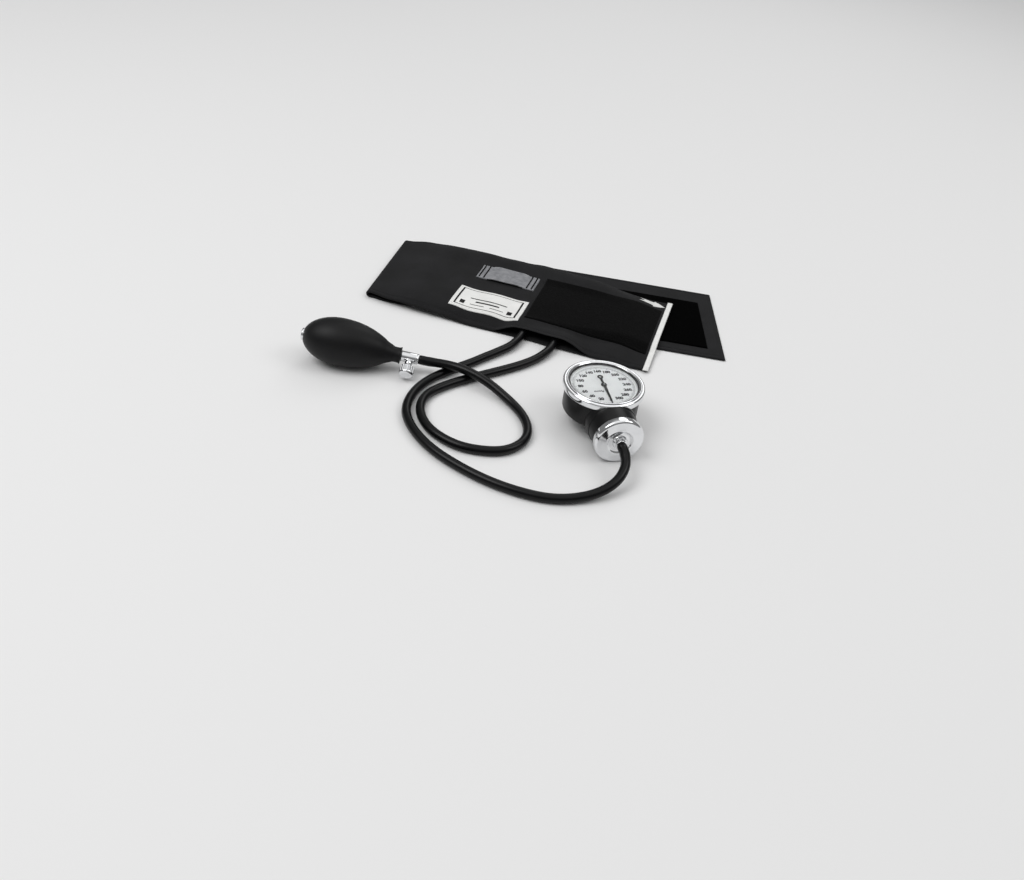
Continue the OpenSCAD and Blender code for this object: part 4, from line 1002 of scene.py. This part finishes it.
# Bulb and release valve. Lengths along the valve's axis count from the barrel's tube end, in mm.
def frameOf(place, *turns):
    matrix = Matrix.Translation(Vector(place) * mm)
    for axis, degrees in turns:
        matrix = matrix @ Matrix.Rotation(math.radians(degrees), 4, axis)
    return matrix


def softened(outline, size, closed):
    # each corner of an outline gives way to a small arc, so that edges catch the light
    line = []
    count = len(outline)
    for i, point in enumerate(outline):
        p = Vector(point)
        ends = not closed and i in (0, count - 1)
        a, b = Vector(outline[i - 1]) - p, Vector(outline[(i + 1) % count]) - p
        turn = math.pi if ends or a.length * b.length == 0 else a.angle(b)
        if turn > math.radians(150):
            line.append(p)
            continue
        cut = min(size, a.length * 0.4, b.length * 0.4)
        start, end = p + a.normalized() * cut, p + b.normalized() * cut
        line += [start, (start + p * 2 + end) / 4, end]
    return line


def arc(x, z, radius, degrees, height=None):
    # points of an outline on a circle about (x, z), or on an oval with its own height
    return [(x + radius * math.cos(math.radians(a)), z + (height or radius) * math.sin(math.radians(a)))
            for a in degrees]


def barbRings(start, length, pitch, count):
    # saw teeth of a hose barb, as points of an outline
    return [p for k in range(count) for p in (
        (2.2, start + pitch * k), (2.9, start + pitch * k), (2.2, start + length + pitch * k))]


def turned(name, outline, place, steps=96, soft=0.15, closed=True, angle=40):
    # a lathe-turned piece: a vertex is extruded along the outline of (radius, length) and spun
    line = softened(outline, soft, closed)
    deselect()
    bpy.ops.mesh.primitive_plane_add(size=mm)
    piece = bpy.context.object
    piece.name = name
    editMesh(piece)
    bpy.ops.mesh.merge(type="CENTER")
    bpy.ops.transform.translate(value=(line[0].x * mm, 0, line[0].y * mm))
    for a, b in zip(line, line[1:] + (line[:1] if closed else [])):
        step = (b - a) * mm
        bpy.ops.mesh.extrude_vertices_move(TRANSFORM_OT_translate={"value": (step.x, 0, step.y)})
    bpy.ops.mesh.select_all(action="SELECT")
    bpy.ops.mesh.spin(steps=steps, angle=2 * math.pi, center=(0, 0, 0), axis=(0, 0, 1))
    bpy.ops.mesh.select_all(action="SELECT")
    bpy.ops.mesh.remove_doubles(threshold=0.004 * mm)
    bpy.ops.mesh.normals_make_consistent(inside=False)
    leaveEdit()
    piece.matrix_world = place
    settle(piece)
    shade(piece, angle)
    return piece


valve = {
    "place": (-43.5, -161, 13.5),
    "yaw": 14,
    "pitch": 6.312,
    "barrel": 4.8,       # radius
    "barrelLength": 16,
    "stem": 3.9,
    "stemLength": 11,
    "barb": 13,
    "bore": 1.4,
    "boss": 3.4,
    "bossEnd": 8,
    "knobDip": 22,       # degrees that the knob's axis dips towards the table
    "knob": 6.5,
    "knobLength": 11,
    "grooves": 16,
    "grooveDepth": 0.85,
    "grooveHalf": 0.24,  # half a groove's width, as a share of the knurl's pitch
}
bulb = {
    "radius": 21.5,
    "length": 88,
    "wall": 2.4,
    "neck": 6.8,
    "neckLength": 8,
    "bead": 0.9,         # the neck's flare at its end
    "socket": 4.6,
    "tail": 0.386,       # from the tail to the widest ring, as a share of the length
}
valveFrame = frameOf(valve["place"], ("Z", valve["yaw"]), ("Y", valve["pitch"]))
valveAxis = valveFrame @ Matrix.Rotation(math.pi / 2, 4, "Y")
screwFrame = (valveFrame @ Matrix.Translation(Vector((-valve["barrelLength"] / 2, 0, 0)) * mm)
              @ Matrix.Rotation(math.radians(90 + valve["knobDip"]), 4, "X"))
neckX = -valve["barrelLength"]
tailX = neckX - bulb["length"]
tailRise = bulb["tail"] * bulb["length"]
wideX = tailX + tailRise


def bulbOutline(shrink):
    # a rounded tail to the widest ring, then a long lean in to the neck, with a slight waist and flare
    line = [
        ((bulb["radius"] - shrink) * math.sin(a), wideX - (tailRise - shrink * 0.3) * math.cos(a))
        for a in (math.radians(17 + k * 73 / 24) for k in range(25))]
    for k in range(1, 31):
        u = k / 30
        lean = 1 - u ** 2.2
        flare = 0.75 * math.exp(-((u - 1) / 0.09) ** 2) - 0.45 * math.exp(-((u - 0.9) / 0.06) ** 2)
        line.append((bulb["neck"] - shrink + (bulb["radius"] - bulb["neck"]) * lean + flare * (shrink == 0),
                     mix(wideX, neckX - bulb["neckLength"], u)))
    return line


def makeBulb():
    outer, inner = bulbOutline(0), bulbOutline(bulb["wall"])
    neck = bulb["neck"]
    mouth = neckX - 0.05
    end = [(neck + 0.12, neckX - 6.6), (neck, neckX - 5), (neck + 0.03, neckX - 3), (neck + 0.2, neckX - 1.4),
           (neck + bulb["bead"], neckX - 0.5), (neck + bulb["bead"], mouth), (valve["stem"], mouth),
           (valve["stem"], neckX - bulb["neckLength"] - 4)]
    start = [(bulb["socket"], tailX + 13), (bulb["socket"], outer[0][1])]
    piece = turned("bulbShell", start + outer[:-1] + end + inner[::-1][2:-1], valveAxis, soft=0.3, angle=50)
    for vertex in piece.data.vertices:
        vertex.co.z = max(vertex.co.z, 0)      # it stands on a small flat
    piece.data.update()
    return piece


def makeInletValve():
    face, r = tailX + 0.5, bulb["socket"]
    outline = [(1.3, face - 1.6), (4.4, face - 1.6), (5.4, face - 0.8), (5.4, face + 1), (r, face + 1),
               (r, face + 12), (2.3, face + 12), (2.3, face + 3), (1.3, face + 3)]
    return turned("inletValve", outline, valveAxis, steps=64, soft=0.25)


def makeValveBody():
    stemX = neckX - valve["stemLength"]
    r = valve["barrel"]
    outline = [(valve["bore"], stemX), (valve["stem"], stemX), (valve["stem"], neckX), (r, neckX), (r, -1.9),
               (r - 0.18, -1.75), (r - 0.18, -1.45), (r, -1.3), (r, 0), (2.2, 0)]
    outline += barbRings(2.5, 3, 3.6, 3) + [(2.2, valve["barb"]), (valve["bore"], valve["barb"])]
    barrel = turned("valveBody", outline, valveAxis, soft=0.3)
    r, end = valve["boss"], valve["bossEnd"]
    bossOutline = [(1.85, 3.6), (r, 3.6), (r, end), (1.85, end)]
    boss = turned("screwBoss", bossOutline, screwFrame, steps=64, soft=0.35)
    return joinPieces("valveBody", [barrel, boss])


def makeKnob():
    # straight knurl between a plain neck and a rounded end; the screw's stem runs into the boss
    base = valve["bossEnd"] + 0.65
    r, end = valve["knob"], base + valve["knobLength"]
    low, high = base + 3, end - 2.1
    outline = [(0, 4.8), (1.8, 4.8), (1.8, base), (3.6, base), (3.6, base + 1.5), (4.2, base + 1.7),
               (r - 0.35, base + 2.6)]
    outline += [(r, z) for z in spaced(low, high, 0.5)] + arc(r - 1.9, high, 1.9, range(15, 91, 15), 2.1)
    outline += [(3.4, end), (3, end - 0.35), (0, end - 0.35)]
    knob = turned("releaseKnob", outline, Matrix(), steps=valve["grooves"] * 12, soft=0.12, closed=False,
                  angle=32)
    pitch = 2 * math.pi / valve["grooves"]
    for vertex in knob.data.vertices:
        x, y, z = vertex.co / mm
        reach = math.hypot(x, y)
        if reach < 3.9 or z < base + 1:
            continue
        part = (math.atan2(y, x) % pitch) / pitch - 0.5
        depth = valve["grooveDepth"] * max(1 - (part / valve["grooveHalf"]) ** 2, 0) ** 0.7
        depth *= smooth((z - low + 0.4) / 0.5) * smooth((high + 0.5 - z) / 0.9)
        vertex.co.x *= 1 - depth / reach
        vertex.co.y *= 1 - depth / reach
    knob.matrix_world = screwFrame
    settle(knob)
    return knob


def chromePlate(name):
    # bright chromium over polished brass: a mirror with a faint waviness and fine wipe marks
    tint, rough = "#e3e4e6", 0.07
    material, tree, shader = startMaterial(name, Metallic=1, Roughness=rough, Base_Color=linear(tint))
    place = addNode(tree, "ShaderNodeTexCoord").outputs["Object"]
    smears = clouds(tree, place, grains(11), 5, 0.62)
    gloss(tree, shader, smears, rough * 0.6, rough * 1.9, 0.3, 0.75)
    tones(tree, shader, smears, tint, "#f0f1f2", 0.3, 0.8)
    bump(tree, shader, smears, 0.06, 0.2)
    return material


def turnedMetal(name, low, high, rough, size=0.25):
    # lathe marks: fine lines of uneven gloss over plain metal
    material, tree, shader = startMaterial(name, Metallic=1, Roughness=rough)
    place = addNode(tree, "ShaderNodeTexCoord").outputs["Object"]
    stretch = addNode(tree, "ShaderNodeMapping", links={"Vector": place}, values={
        "Scale": (grains(size), grains(size), grains(size * 20))})
    marks = clouds(tree, stretch.outputs["Vector"], 1, 3)
    tones(tree, shader, marks, low, high, 0.3, 0.7)
    bump(tree, shader, marks, 0.2, 0.02)
    return material


def mouldedRubber(name, low, high, rough):
    # moulded rubber: soft broad sheen, a bloom of lighter patches and a sandblasted mould's fine grain
    material, tree, shader = startMaterial(name, Roughness=rough, Specular_IOR_Level=0.22, Sheen_Weight=0.02)
    place = addNode(tree, "ShaderNodeTexCoord").outputs["Object"]
    bloom = clouds(tree, place, grains(16), 6, 0.6)
    tones(tree, shader, bloom, low, high, 0.3, 0.75)
    gloss(tree, shader, bloom, rough - 0.08, rough + 0.1)
    bump(tree, shader, clouds(tree, place, grains(0.35), 2), 0.35, 0.03)
    return material


chrome = chromePlate("bright chromium plate")
steelTurned = turnedMetal("turned stainless steel", "#9c9ea1", "#c4c6c9", 0.28)
brassTurned = turnedMetal("turned brass", "#a9843c", "#cfae66", 0.25)
bulbRubber = mouldedRubber("moulded black rubber", "#09090a", "#121213", 0.46)
sealRubber = mouldedRubber("moulded seal rubber", "#161617", "#202022", 0.6)

dress(makeBulb(), bulbRubber, "bulb_rubber", ["bulb_shell"])
dress(makeInletValve(), chrome, "chrome", ["inlet_body"])
dress(makeValveBody(), chrome, "chrome", ["valve_body"])
dress(makeKnob(), chrome, "chrome", ["release_screw"], body="screw")
print("bulb and valve turned")


def finish(material, *names):
    # a CAD node that keeps its own mesh and takes a finish
    for name in names:
        nodes[name].data.materials.clear()
        nodes[name].data.materials.append(material)


finish(steelTurned, "inlet_ball", "valve_needle")
finish(brassTurned, "inlet_retainer", "outlet_retainer")
finish(sealRubber, "valve_washer", "outlet_disc")


# Gauge: everything is drawn about the dial's centre, with the drum along -Y, and then put in place
gauge = {
    "centre": (123.15, -161.798, 0),
    "turn": 30,
    "axisZ": 21,            # height of the drum's axis
    "frontZ": 42.9,         # top of the bezel
    "backZ": 13.9,
    "bezel": 35,            # radius
    "bezelHeight": 7,
    "pan": 32.3,
    "panWall": 2,
    "dial": 30.1,
    "dialTopZ": 38,         # nearer the window than the solid dial, so that the near numbers show
    "windowTopZ": 41.5,
    "windowZ": 39.7,
    "ringTopZ": 39,
    "pointerZ": 38.4,
    "drum": 20.2,
    "drumWall": 1.6,
    "drumReach": 52.4,
    "cap": 21,
    "capThick": 2.5,
    "gasket": 0.8,
    "collar": 4.6,
}
gaugeFrame = frameOf(gauge["centre"], ("Z", gauge["turn"]))
drumFrame = gaugeFrame @ frameOf((0, 0, gauge["axisZ"]), ("X", 90))
dialTop = gaugeFrame @ frameOf((0, 0, gauge["dialTopZ"]))


def makeBezel():
    # outer band, dark groove, raised inner lip and a fine second step over the window
    r, top = gauge["bezel"], gauge["frontZ"]
    low, skirt = top - gauge["bezelHeight"], gauge["pan"] + 0.1
    outline = [(skirt, low), (r - 0.7, low), (r - 0.15, low + 0.25), (r, low + 0.8), (r, low + 2.6)]
    outline += arc(r - 1.6, top - 2.9, 1.6, range(0, 91, 10))
    outline += [(r - 2.35, top - 1.32), (r - 2.5, top - 1.9), (r - 2.8, top - 1.9), (r - 2.95, top - 1.1)]
    outline += arc(r - 3.6, top - 1.2, 0.8, range(10, 131, 10))
    lip, seat, glass = gauge["dial"] - 0.5, gauge["pan"] - 2, gauge["windowTopZ"]
    outline += [(lip + 0.7, glass + 0.45), (lip + 0.15, glass + 0.15), (lip, glass), (seat, glass),
                (seat, gauge["windowZ"] - 0.8), (skirt, gauge["windowZ"] - 0.8)]
    return turned("bezelRing", outline, gaugeFrame, steps=160, soft=0.08)


def makePan():
    # round-cornered pan with a ledge that the dial rests on
    r, back, rim, seat = gauge["pan"], gauge["backZ"], gauge["windowZ"] - 1, gauge["dialTopZ"] - 0.5
    inner, floor = r - gauge["panWall"], back + gauge["panWall"]
    outline = [(0, back)] + arc(r - 3, back + 3, 3, range(-90, 1, 10))
    outline += [(r, rim), (inner, rim), (inner, seat), (inner - 1.4, seat), (inner - 1.4, seat - 1.4),
                (inner, seat - 2.8), (inner, floor + 1), (inner - 1, floor), (0, floor)]
    return turned("casePan", outline, gaugeFrame, steps=128, soft=0.3, closed=False)


def cutRound(piece, place, radius, low, high):
    # a round hole through a shell
    deselect()
    bpy.ops.mesh.primitive_cylinder_add(vertices=128, radius=radius * mm, depth=(high - low) * mm)
    cutter = bpy.context.object
    cutter.matrix_world = place @ frameOf((0, 0, (low + high) / 2))
    settle(cutter)
    applyModifier(piece, "BOOLEAN", object=cutter, operation="DIFFERENCE", solver="EXACT")
    bpy.data.objects.remove(cutter)
    return piece


def makeDrum():
    # a cup with a thicker collar at the pan, cut to the round of the pan and of the bezel
    r, inner, reach = gauge["drum"], gauge["drum"] - gauge["drumWall"], gauge["drumReach"]
    collar, floor = gauge["pan"] + 3.1, gauge["pan"] + 0.8
    outline = [(0, 1), (r + 0.7, 1), (r + 0.7, collar - 0.9), (r + 0.45, collar - 0.3), (r, collar),
               (r, reach), (inner, reach), (inner, floor), (5, floor), (5, 1.5), (0, 1.5)]
    drum = turned("drumHousing", outline, drumFrame, steps=128, soft=0.25, closed=False)
    cutRound(drum, gaugeFrame, gauge["pan"] + 0.1, -1, gauge["frontZ"] + 4)
    cutRound(drum, gaugeFrame, gauge["bezel"] + 0.1, gauge["frontZ"] - gauge["bezelHeight"] - 0.1, 60)
    shade(drum, 30)
    return drum


def makeEndCap():
    # rolled rim, flat face, ring recess and a raised boss for the nipple
    r, face, thick = gauge["cap"], gauge["drumReach"] + gauge["gasket"], gauge["capThick"]
    top, rim = face + thick, 2.6
    outline = [(gauge["drum"] + 0.05, face - 4), (r - 0.25, face - 4), (r, face - 3.7)]
    outline += arc(r - rim, top - rim, rim, range(0, 91, 7))
    outline += [(13.6, top + 0.1), (12.9, top + 0.45), (12.2, top + 0.6), (11.2, top + 0.6),
                (10.6, top + 0.35), (10, top - 0.35), (9.3, top - 0.65), (7, top - 0.7), (6.3, top - 0.4),
                (5.9, top + 0.4), (5.6, top + 1.6), (5.1, top + 2), (2.5, top + 2), (2.5, face),
                (gauge["drum"] + 0.05, face)]
    return turned("endCap", outline, drumFrame, steps=144, soft=0.08)


def makeNipple():
    # a six-sided collar for a spanner, and the barb inside the tube
    face = gauge["drumReach"] + gauge["gasket"] + gauge["capThick"] + 2
    end, start, bore = face + 2, 48.2, 1.2
    outline = [(bore, start), (2.5, start), (2.5, face - 0.05), (4.1, face - 0.05), (4.1, end - 0.3),
               (3.7, end), (2.2, end)]
    outline += barbRings(end + 1, 2, 2.4, 2) + [(2.2, end + 6.5), (bore, end + 6.5)]
    stem = turned("nipple", outline, drumFrame, steps=64)
    deselect()
    bpy.ops.mesh.primitive_cylinder_add(vertices=6, radius=gauge["collar"] * mm, depth=1.9 * mm)
    collar = bpy.context.object
    editMesh(collar)
    bpy.ops.mesh.bevel(offset=0.25 * mm, segments=3)
    leaveEdit()
    collar.matrix_world = drumFrame @ frameOf((0, 0, face + 0.97), ("Z", 12))
    settle(collar)
    shade(collar, 35)
    return joinPieces("nipple", [stem, collar])


def makeDialRing():
    r, low, top = gauge["dial"], gauge["dialTopZ"] + 0.01, gauge["ringTopZ"]
    outline = [(r, low), (r, top), (r - 1.4, top), (r - 1.7, top - 0.5), (r - 2.2, low)]
    return turned("dialRing", outline, gaugeFrame, steps=128, soft=0.15)


def makeDial():
    r, hole, top = gauge["dial"], 1.6, gauge["dialTopZ"]
    outline = [(hole, top - 0.5), (r, top - 0.5), (r, top), (hole, top)]
    return turned("dialPlate", outline, gaugeFrame, steps=128, soft=0.06)


def makeWindow():
    # flat clear disc with a slight crown and ground edges
    low, top, r = gauge["windowZ"], gauge["windowTopZ"], gauge["dial"]
    outline = [(0, low), (r, low), (r, top - 0.1), (r - 1.7, top - 0.05)]
    outline += arc(-0.3, top - 0.19, 0.97 * r, range(20, 84, 7), 0.55) + [(0, top + 0.36)]
    return turned("window", outline, gaugeFrame, steps=128, soft=0.06, closed=False, angle=60)


scale = {
    "full": 300,                  # mmHg at the end of the scale
    "sweep": 337.5,               # degrees from zero to full scale
    "marks": ((20, 23.3, 0.36), (10, 24, 0.3), (2, 24.7, 0.2)),    # each so many mmHg, inner radius, width
    "marksEnd": 26.1,
    "circle": (26.2, 26.4),
    "stretch": (1.08, 1.1, 1, 1),
    "spacing": 1.06,
    "number": (4, 20.3, 0.24),    # size, radius and how much bolder
    "zero": (3, 21, 0.18),
    "unit": (2.8, 10.5, 0.08),
    "unitAt": 230,                # degrees, beside the needle at rest
}


def scaleAngle(value):
    # clockwise from six o'clock, as seen from the front
    return math.radians(-90 - value / scale["full"] * scale["sweep"])


def printed(name, place):
    # flat print: the new object's faces get a hair of thickness and move onto the dial
    lift, thick = 0.03, 0.04
    piece = bpy.context.object
    piece.name = name
    piece.matrix_world = dialTop @ place @ Matrix.Translation((0, 0, lift * mm))
    settle(piece)
    applyModifier(piece, "SOLIDIFY", thickness=thick * mm, offset=0)
    return piece


def makeTicks():
    # short marks, longer ones and longest ones inside a fine circle
    marks, outer = [], scale["marksEnd"]
    for value in range(0, scale["full"] + 1, 2):
        inner, width = next((low, wide) for each, low, wide in scale["marks"] if value % each == 0)
        deselect()
        bpy.ops.mesh.primitive_plane_add(size=mm)
        middle = Matrix.Translation(((inner + outer) / 2 * mm, 0, 0))
        turn = Matrix.Rotation(scaleAngle(value), 4, "Z")
        marks.append(printed("tick", turn @ middle @ Matrix.Diagonal((outer - inner, width, 1, 1))))
    low, high = scale["circle"]
    marks.append(turned("tickRing", [(low, 0), (high, 0), (high, 0.04), (low, 0.04)],
                        dialTop @ frameOf((0, 0, 0.01)), steps=144, soft=0))
    return joinPieces("dialTicks", marks)


def makeNumber(text, look, angle):
    size, radius, bold = look
    deselect()
    bpy.ops.object.text_add()
    letters = bpy.context.object
    letters.data.body = text
    letters.data.size = size * mm
    letters.data.align_x = "CENTER"
    letters.data.align_y = "CENTER"
    letters.data.offset = bold * mm
    letters.data.space_character = scale["spacing"]
    letters.data.resolution_u = 4
    bpy.ops.object.convert(target="MESH")
    place = Matrix.Translation((radius * math.cos(angle) * mm, radius * math.sin(angle) * mm, 0))
    return printed("number" + text, place @ Matrix.Diagonal(scale["stretch"]))


def makeNumbers():
    numbers = [makeNumber(str(value), scale["number"], scaleAngle(value))
               for value in range(20, scale["full"] + 1, 20)]
    numbers.append(makeNumber("0", scale["zero"], scaleAngle(0)))
    numbers.append(makeNumber("mmHg", scale["unit"], math.radians(scale["unitAt"])))
    return joinPieces("dialNumbers", numbers)


def makePointer():
    # blackened needle with a ring-shaped counterweight, pressed on a turned hub
    z, tip, thick = gauge["pointerZ"], gauge["dial"] - 3.2, 0.4
    right = [(0.85, 9.3), (1, 3.2), (1.3, 2), (1.3, -6), (1.05, -9), (0.8, -tip * 0.75), (0.2, -tip)]
    blade = right + [(-x, y) for x, y in right[::-1]]
    deselect()
    bpy.ops.mesh.primitive_circle_add(vertices=len(blade), radius=mm, fill_type="NGON")
    needle = bpy.context.object
    for vertex, (x, y) in zip(needle.data.vertices, blade):
        vertex.co = Vector((x, y, 0)) * mm
    needle.matrix_world = gaugeFrame @ frameOf((0, 0, z + thick))
    settle(needle)
    editMesh(needle)
    bpy.ops.mesh.normals_make_consistent(inside=False)
    leaveEdit()
    if needle.data.polygons[0].normal.z < 0:
        needle.data.flip_normals()
    applyModifier(needle, "SOLIDIFY", thickness=thick * mm, offset=-1)
    applyModifier(needle, "BEVEL", width=0.07 * mm, segments=2)
    ring = turned("ring", [(1.2, z), (2.5, z), (2.5, z + thick), (1.2, z + thick)],
                  gaugeFrame @ frameOf((0, 11.4, 0)), steps=40, soft=0.08)
    hubOutline = [(0.62, z - 0.3), (2.5, z - 0.3), (2.5, z + thick), (2.2, z + 0.7), (1.1, z + 0.75),
                  (0.62, z + 0.75)]
    hub = turned("hub", hubOutline, gaugeFrame, steps=48, soft=0.08)
    return joinPieces("pointer", [needle, ring, hub])


def makeHubPin():
    z = gauge["pointerZ"] + 0.35
    outline = [(0, z - 3), (0.6, z - 3), (0.6, z + 0.5), (0.45, z + 0.7), (0, z + 0.75)]
    return turned("hubPin", outline, gaugeFrame, steps=32, soft=0.05, closed=False)


def makeClip():
    # spring clip: a foot riveted to the pan, a round bend, and a leaf that runs back with a turned-out lip
    width, thick, foot, back = 24, 0.9, 14, gauge["backZ"]
    bend = (back - 0.4) / 2
    line = [(y, back - thick / 2) for y in (0, foot / 2, foot)]
    line += arc(foot, back - bend, bend - thick / 2, range(78, -91, -12))
    leaf = Vector((-15 - foot, back - 5 - 0.4)).normalized()
    start = Vector((foot, back - 2 * bend + thick / 2))
    line += [tuple(start + leaf * d) for d in (6, 14, 22, 26.5)]
    line += [tuple(start + leaf * 29 + Vector((0, -0.7)))]
    deselect()
    bpy.ops.mesh.primitive_plane_add(size=mm)
    clip = bpy.context.object
    clip.name = "backClip"
    editMesh(clip)
    bpy.ops.mesh.merge(type="CENTER")
    bpy.ops.transform.translate(value=(-width / 2 * mm, line[0][0] * mm, line[0][1] * mm))
    for a, b in zip(line, line[1:]):
        bpy.ops.mesh.extrude_vertices_move(TRANSFORM_OT_translate={
            "value": (0, (b[0] - a[0]) * mm, (b[1] - a[1]) * mm)})
    bpy.ops.mesh.select_all(action="SELECT")
    bpy.ops.mesh.extrude_edges_move(TRANSFORM_OT_translate={"value": (width * mm, 0, 0)})
    bpy.ops.mesh.select_all(action="SELECT")
    bpy.ops.mesh.subdivide(number_cuts=1)
    bpy.ops.mesh.normals_make_consistent(inside=False)
    leaveEdit()
    clip.matrix_world = gaugeFrame
    settle(clip)
    applyModifier(clip, "SOLIDIFY", thickness=thick * mm, offset=0)
    applyModifier(clip, "BEVEL", width=0.18 * mm, segments=2, limit_method="ANGLE")
    shade(clip, 35)
    return clip


def enamel(name, low, high, rough, coat=0, level=0.5):
    # baked enamel: even colour, a little orange peel under a thin gloss
    material, tree, shader = startMaterial(
        name, Roughness=rough, Specular_IOR_Level=level, Coat_Weight=coat, Coat_Roughness=0.25)
    place = addNode(tree, "ShaderNodeTexCoord").outputs["Object"]
    tones(tree, shader, clouds(tree, place, grains(9), 5, 0.6), low, high, 0.3, 0.7)
    bump(tree, shader, clouds(tree, place, grains(0.9), 1), 0.2, 0.015)
    return material


def clearPlastic():
    # moulded acrylic window: clear, with faint haze where it has been wiped; its index is set below
    # acrylic's 1.49, so that the dial reads through it as it does in the photograph
    material, tree, shader = startMaterial(
        "moulded acrylic", Roughness=0.02, Transmission_Weight=1, IOR=1.15, Base_Color=linear("#feffff"))
    place = addNode(tree, "ShaderNodeTexCoord").outputs["Object"]
    gloss(tree, shader, clouds(tree, place, grains(14), 4), 0, 0.04, 0.4, 0.8)
    return material


caseEnamel = enamel("baked black enamel", "#040405", "#0b0b0c", 0.34, coat=0.03, level=0.28)
dialEnamel = enamel("matte white enamel", "#e6e7e8", "#eeefef", 0.55)
dialPlastic = enamel("moulded white plastic", "#d2d3d4", "#dfe0e0", 0.5)
dialInk = plain("screen printing ink, black", "#060607", "#0e0e0f", 3, 0.6, level=0.15)
scaleInk = plain("screen printing ink, grey", "#75777a", "#8b8d90", 3, 0.6)
needleLacquer = plain("black lacquer on steel", "#050506", "#0c0c0d", 2, 0.5, level=0.2)
springSteel = turnedMetal("satin spring steel", "#a0a2a6", "#c6c8cb", 0.3, size=0.5)
bronzeSatin = turnedMetal("phosphor bronze", "#9a7a3a", "#bd9c55", 0.35)

dress(makeBezel(), chrome, "chrome", ["bezel_ring"])
dress(makePan(), caseEnamel, "black_enamel", ["case_pan"])
dress(makeDrum(), caseEnamel, "black_enamel", ["drum_housing"])
dress(makeEndCap(), chrome, "chrome", ["end_cap"])
dress(makeNipple(), chrome, "chrome", ["nipple"])
dress(makeDialRing(), dialPlastic, "white_plastic", ["dial_ring"])
dress(makeDial(), dialEnamel, "dial_enamel", ["dial"])
dress(makeWindow(), clearPlastic(), "clear_window", ["crystal"])
dress(makeTicks(), scaleInk, "needle_black")
dress(makeNumbers(), dialInk, "needle_black")
dress(makePointer(), needleLacquer, "needle_black", ["pointer"], body="pointer")
dress(makeHubPin(), steelTurned, "steel", body="pointer")
dress(makeClip(), springSteel, "spring_steel", ["back_clip"])
finish(sealRubber, "crystal_gasket", "cap_gasket")
finish(steelTurned, "dial_screws", "sector_arbor", "plate_pillars", "movement_posts", "push_pin",
       "clip_rivets")
finish(caseEnamel, "zero_stop")
finish(brassTurned, "pinion_arbor", "sector_gear", "crank_arm", "lower_plate", "upper_plate")
finish(springSteel, "hairspring")
finish(bronzeSatin, "capsule_back", "capsule_front")
print("gauge built")


# Studio: pale floor, a sky that is bright overhead and dim near the horizon, and three large soft lamps
studio = {
    "floor": "#ececec",
    "low": 0.2,          # sky near the horizon
    "high": 0.95,        # sky overhead
    "lamps": (           # place in m, power in W, size in m
        ((-1.1, -0.9, 1.9), 20, 1.5),
        ((1.5, 0.2, 1.6), 7, 1.1),
        ((0.1, 1.7, 1.5), 5, 1.2),
    ),
}


def makeStudio():
    bpy.ops.mesh.primitive_plane_add(size=12, location=(0, 0, 0))
    floor = bpy.context.object
    floor.name = "floor"
    material, tree, shader = startMaterial("pale floor", Base_Color=linear(studio["floor"]), Roughness=0.8)
    shader.inputs["Specular IOR Level"].default_value = 0.1
    floor.data.materials.append(material)
    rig.stage(floor)
    world = bpy.data.worlds.new("studio")
    bpy.context.scene.world = world
    world.use_nodes = True
    tree = world.node_tree
    direction = addNode(tree, "ShaderNodeTexCoord").outputs["Generated"]
    height = addNode(tree, "ShaderNodeSeparateXYZ", links={"Vector": direction}).outputs["Z"]
    level = addNode(tree, "ShaderNodeMapRange", links={"Value": height}, values={
        "From Min": 0.6, "From Max": 0.9, "To Min": studio["low"], "To Max": studio["high"]})
    tree.links.new(level.outputs["Result"], tree.nodes["Background"].inputs["Strength"])
    tree.nodes["Background"].inputs["Color"].default_value = (1, 1, 1, 1)
    for place, power, size in studio["lamps"]:
        bpy.ops.object.light_add(type="AREA", location=place)
        lamp = bpy.context.object
        lamp.data.shape = "DISK"
        lamp.data.energy = power
        lamp.data.size = size
        lamp.rotation_euler = (Vector((0.05, -0.1, 0)) - lamp.location).to_track_quat("-Z", "Y").to_euler()
    bpy.context.scene.view_settings.view_transform = "Standard"


makeStudio()
print("studio set")

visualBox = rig.bounds()
with open("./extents.json", "w") as file:
    json.dump({"cad": [list(corner) for corner in cadBox], "visual": [list(corner) for corner in visualBox]}, file)
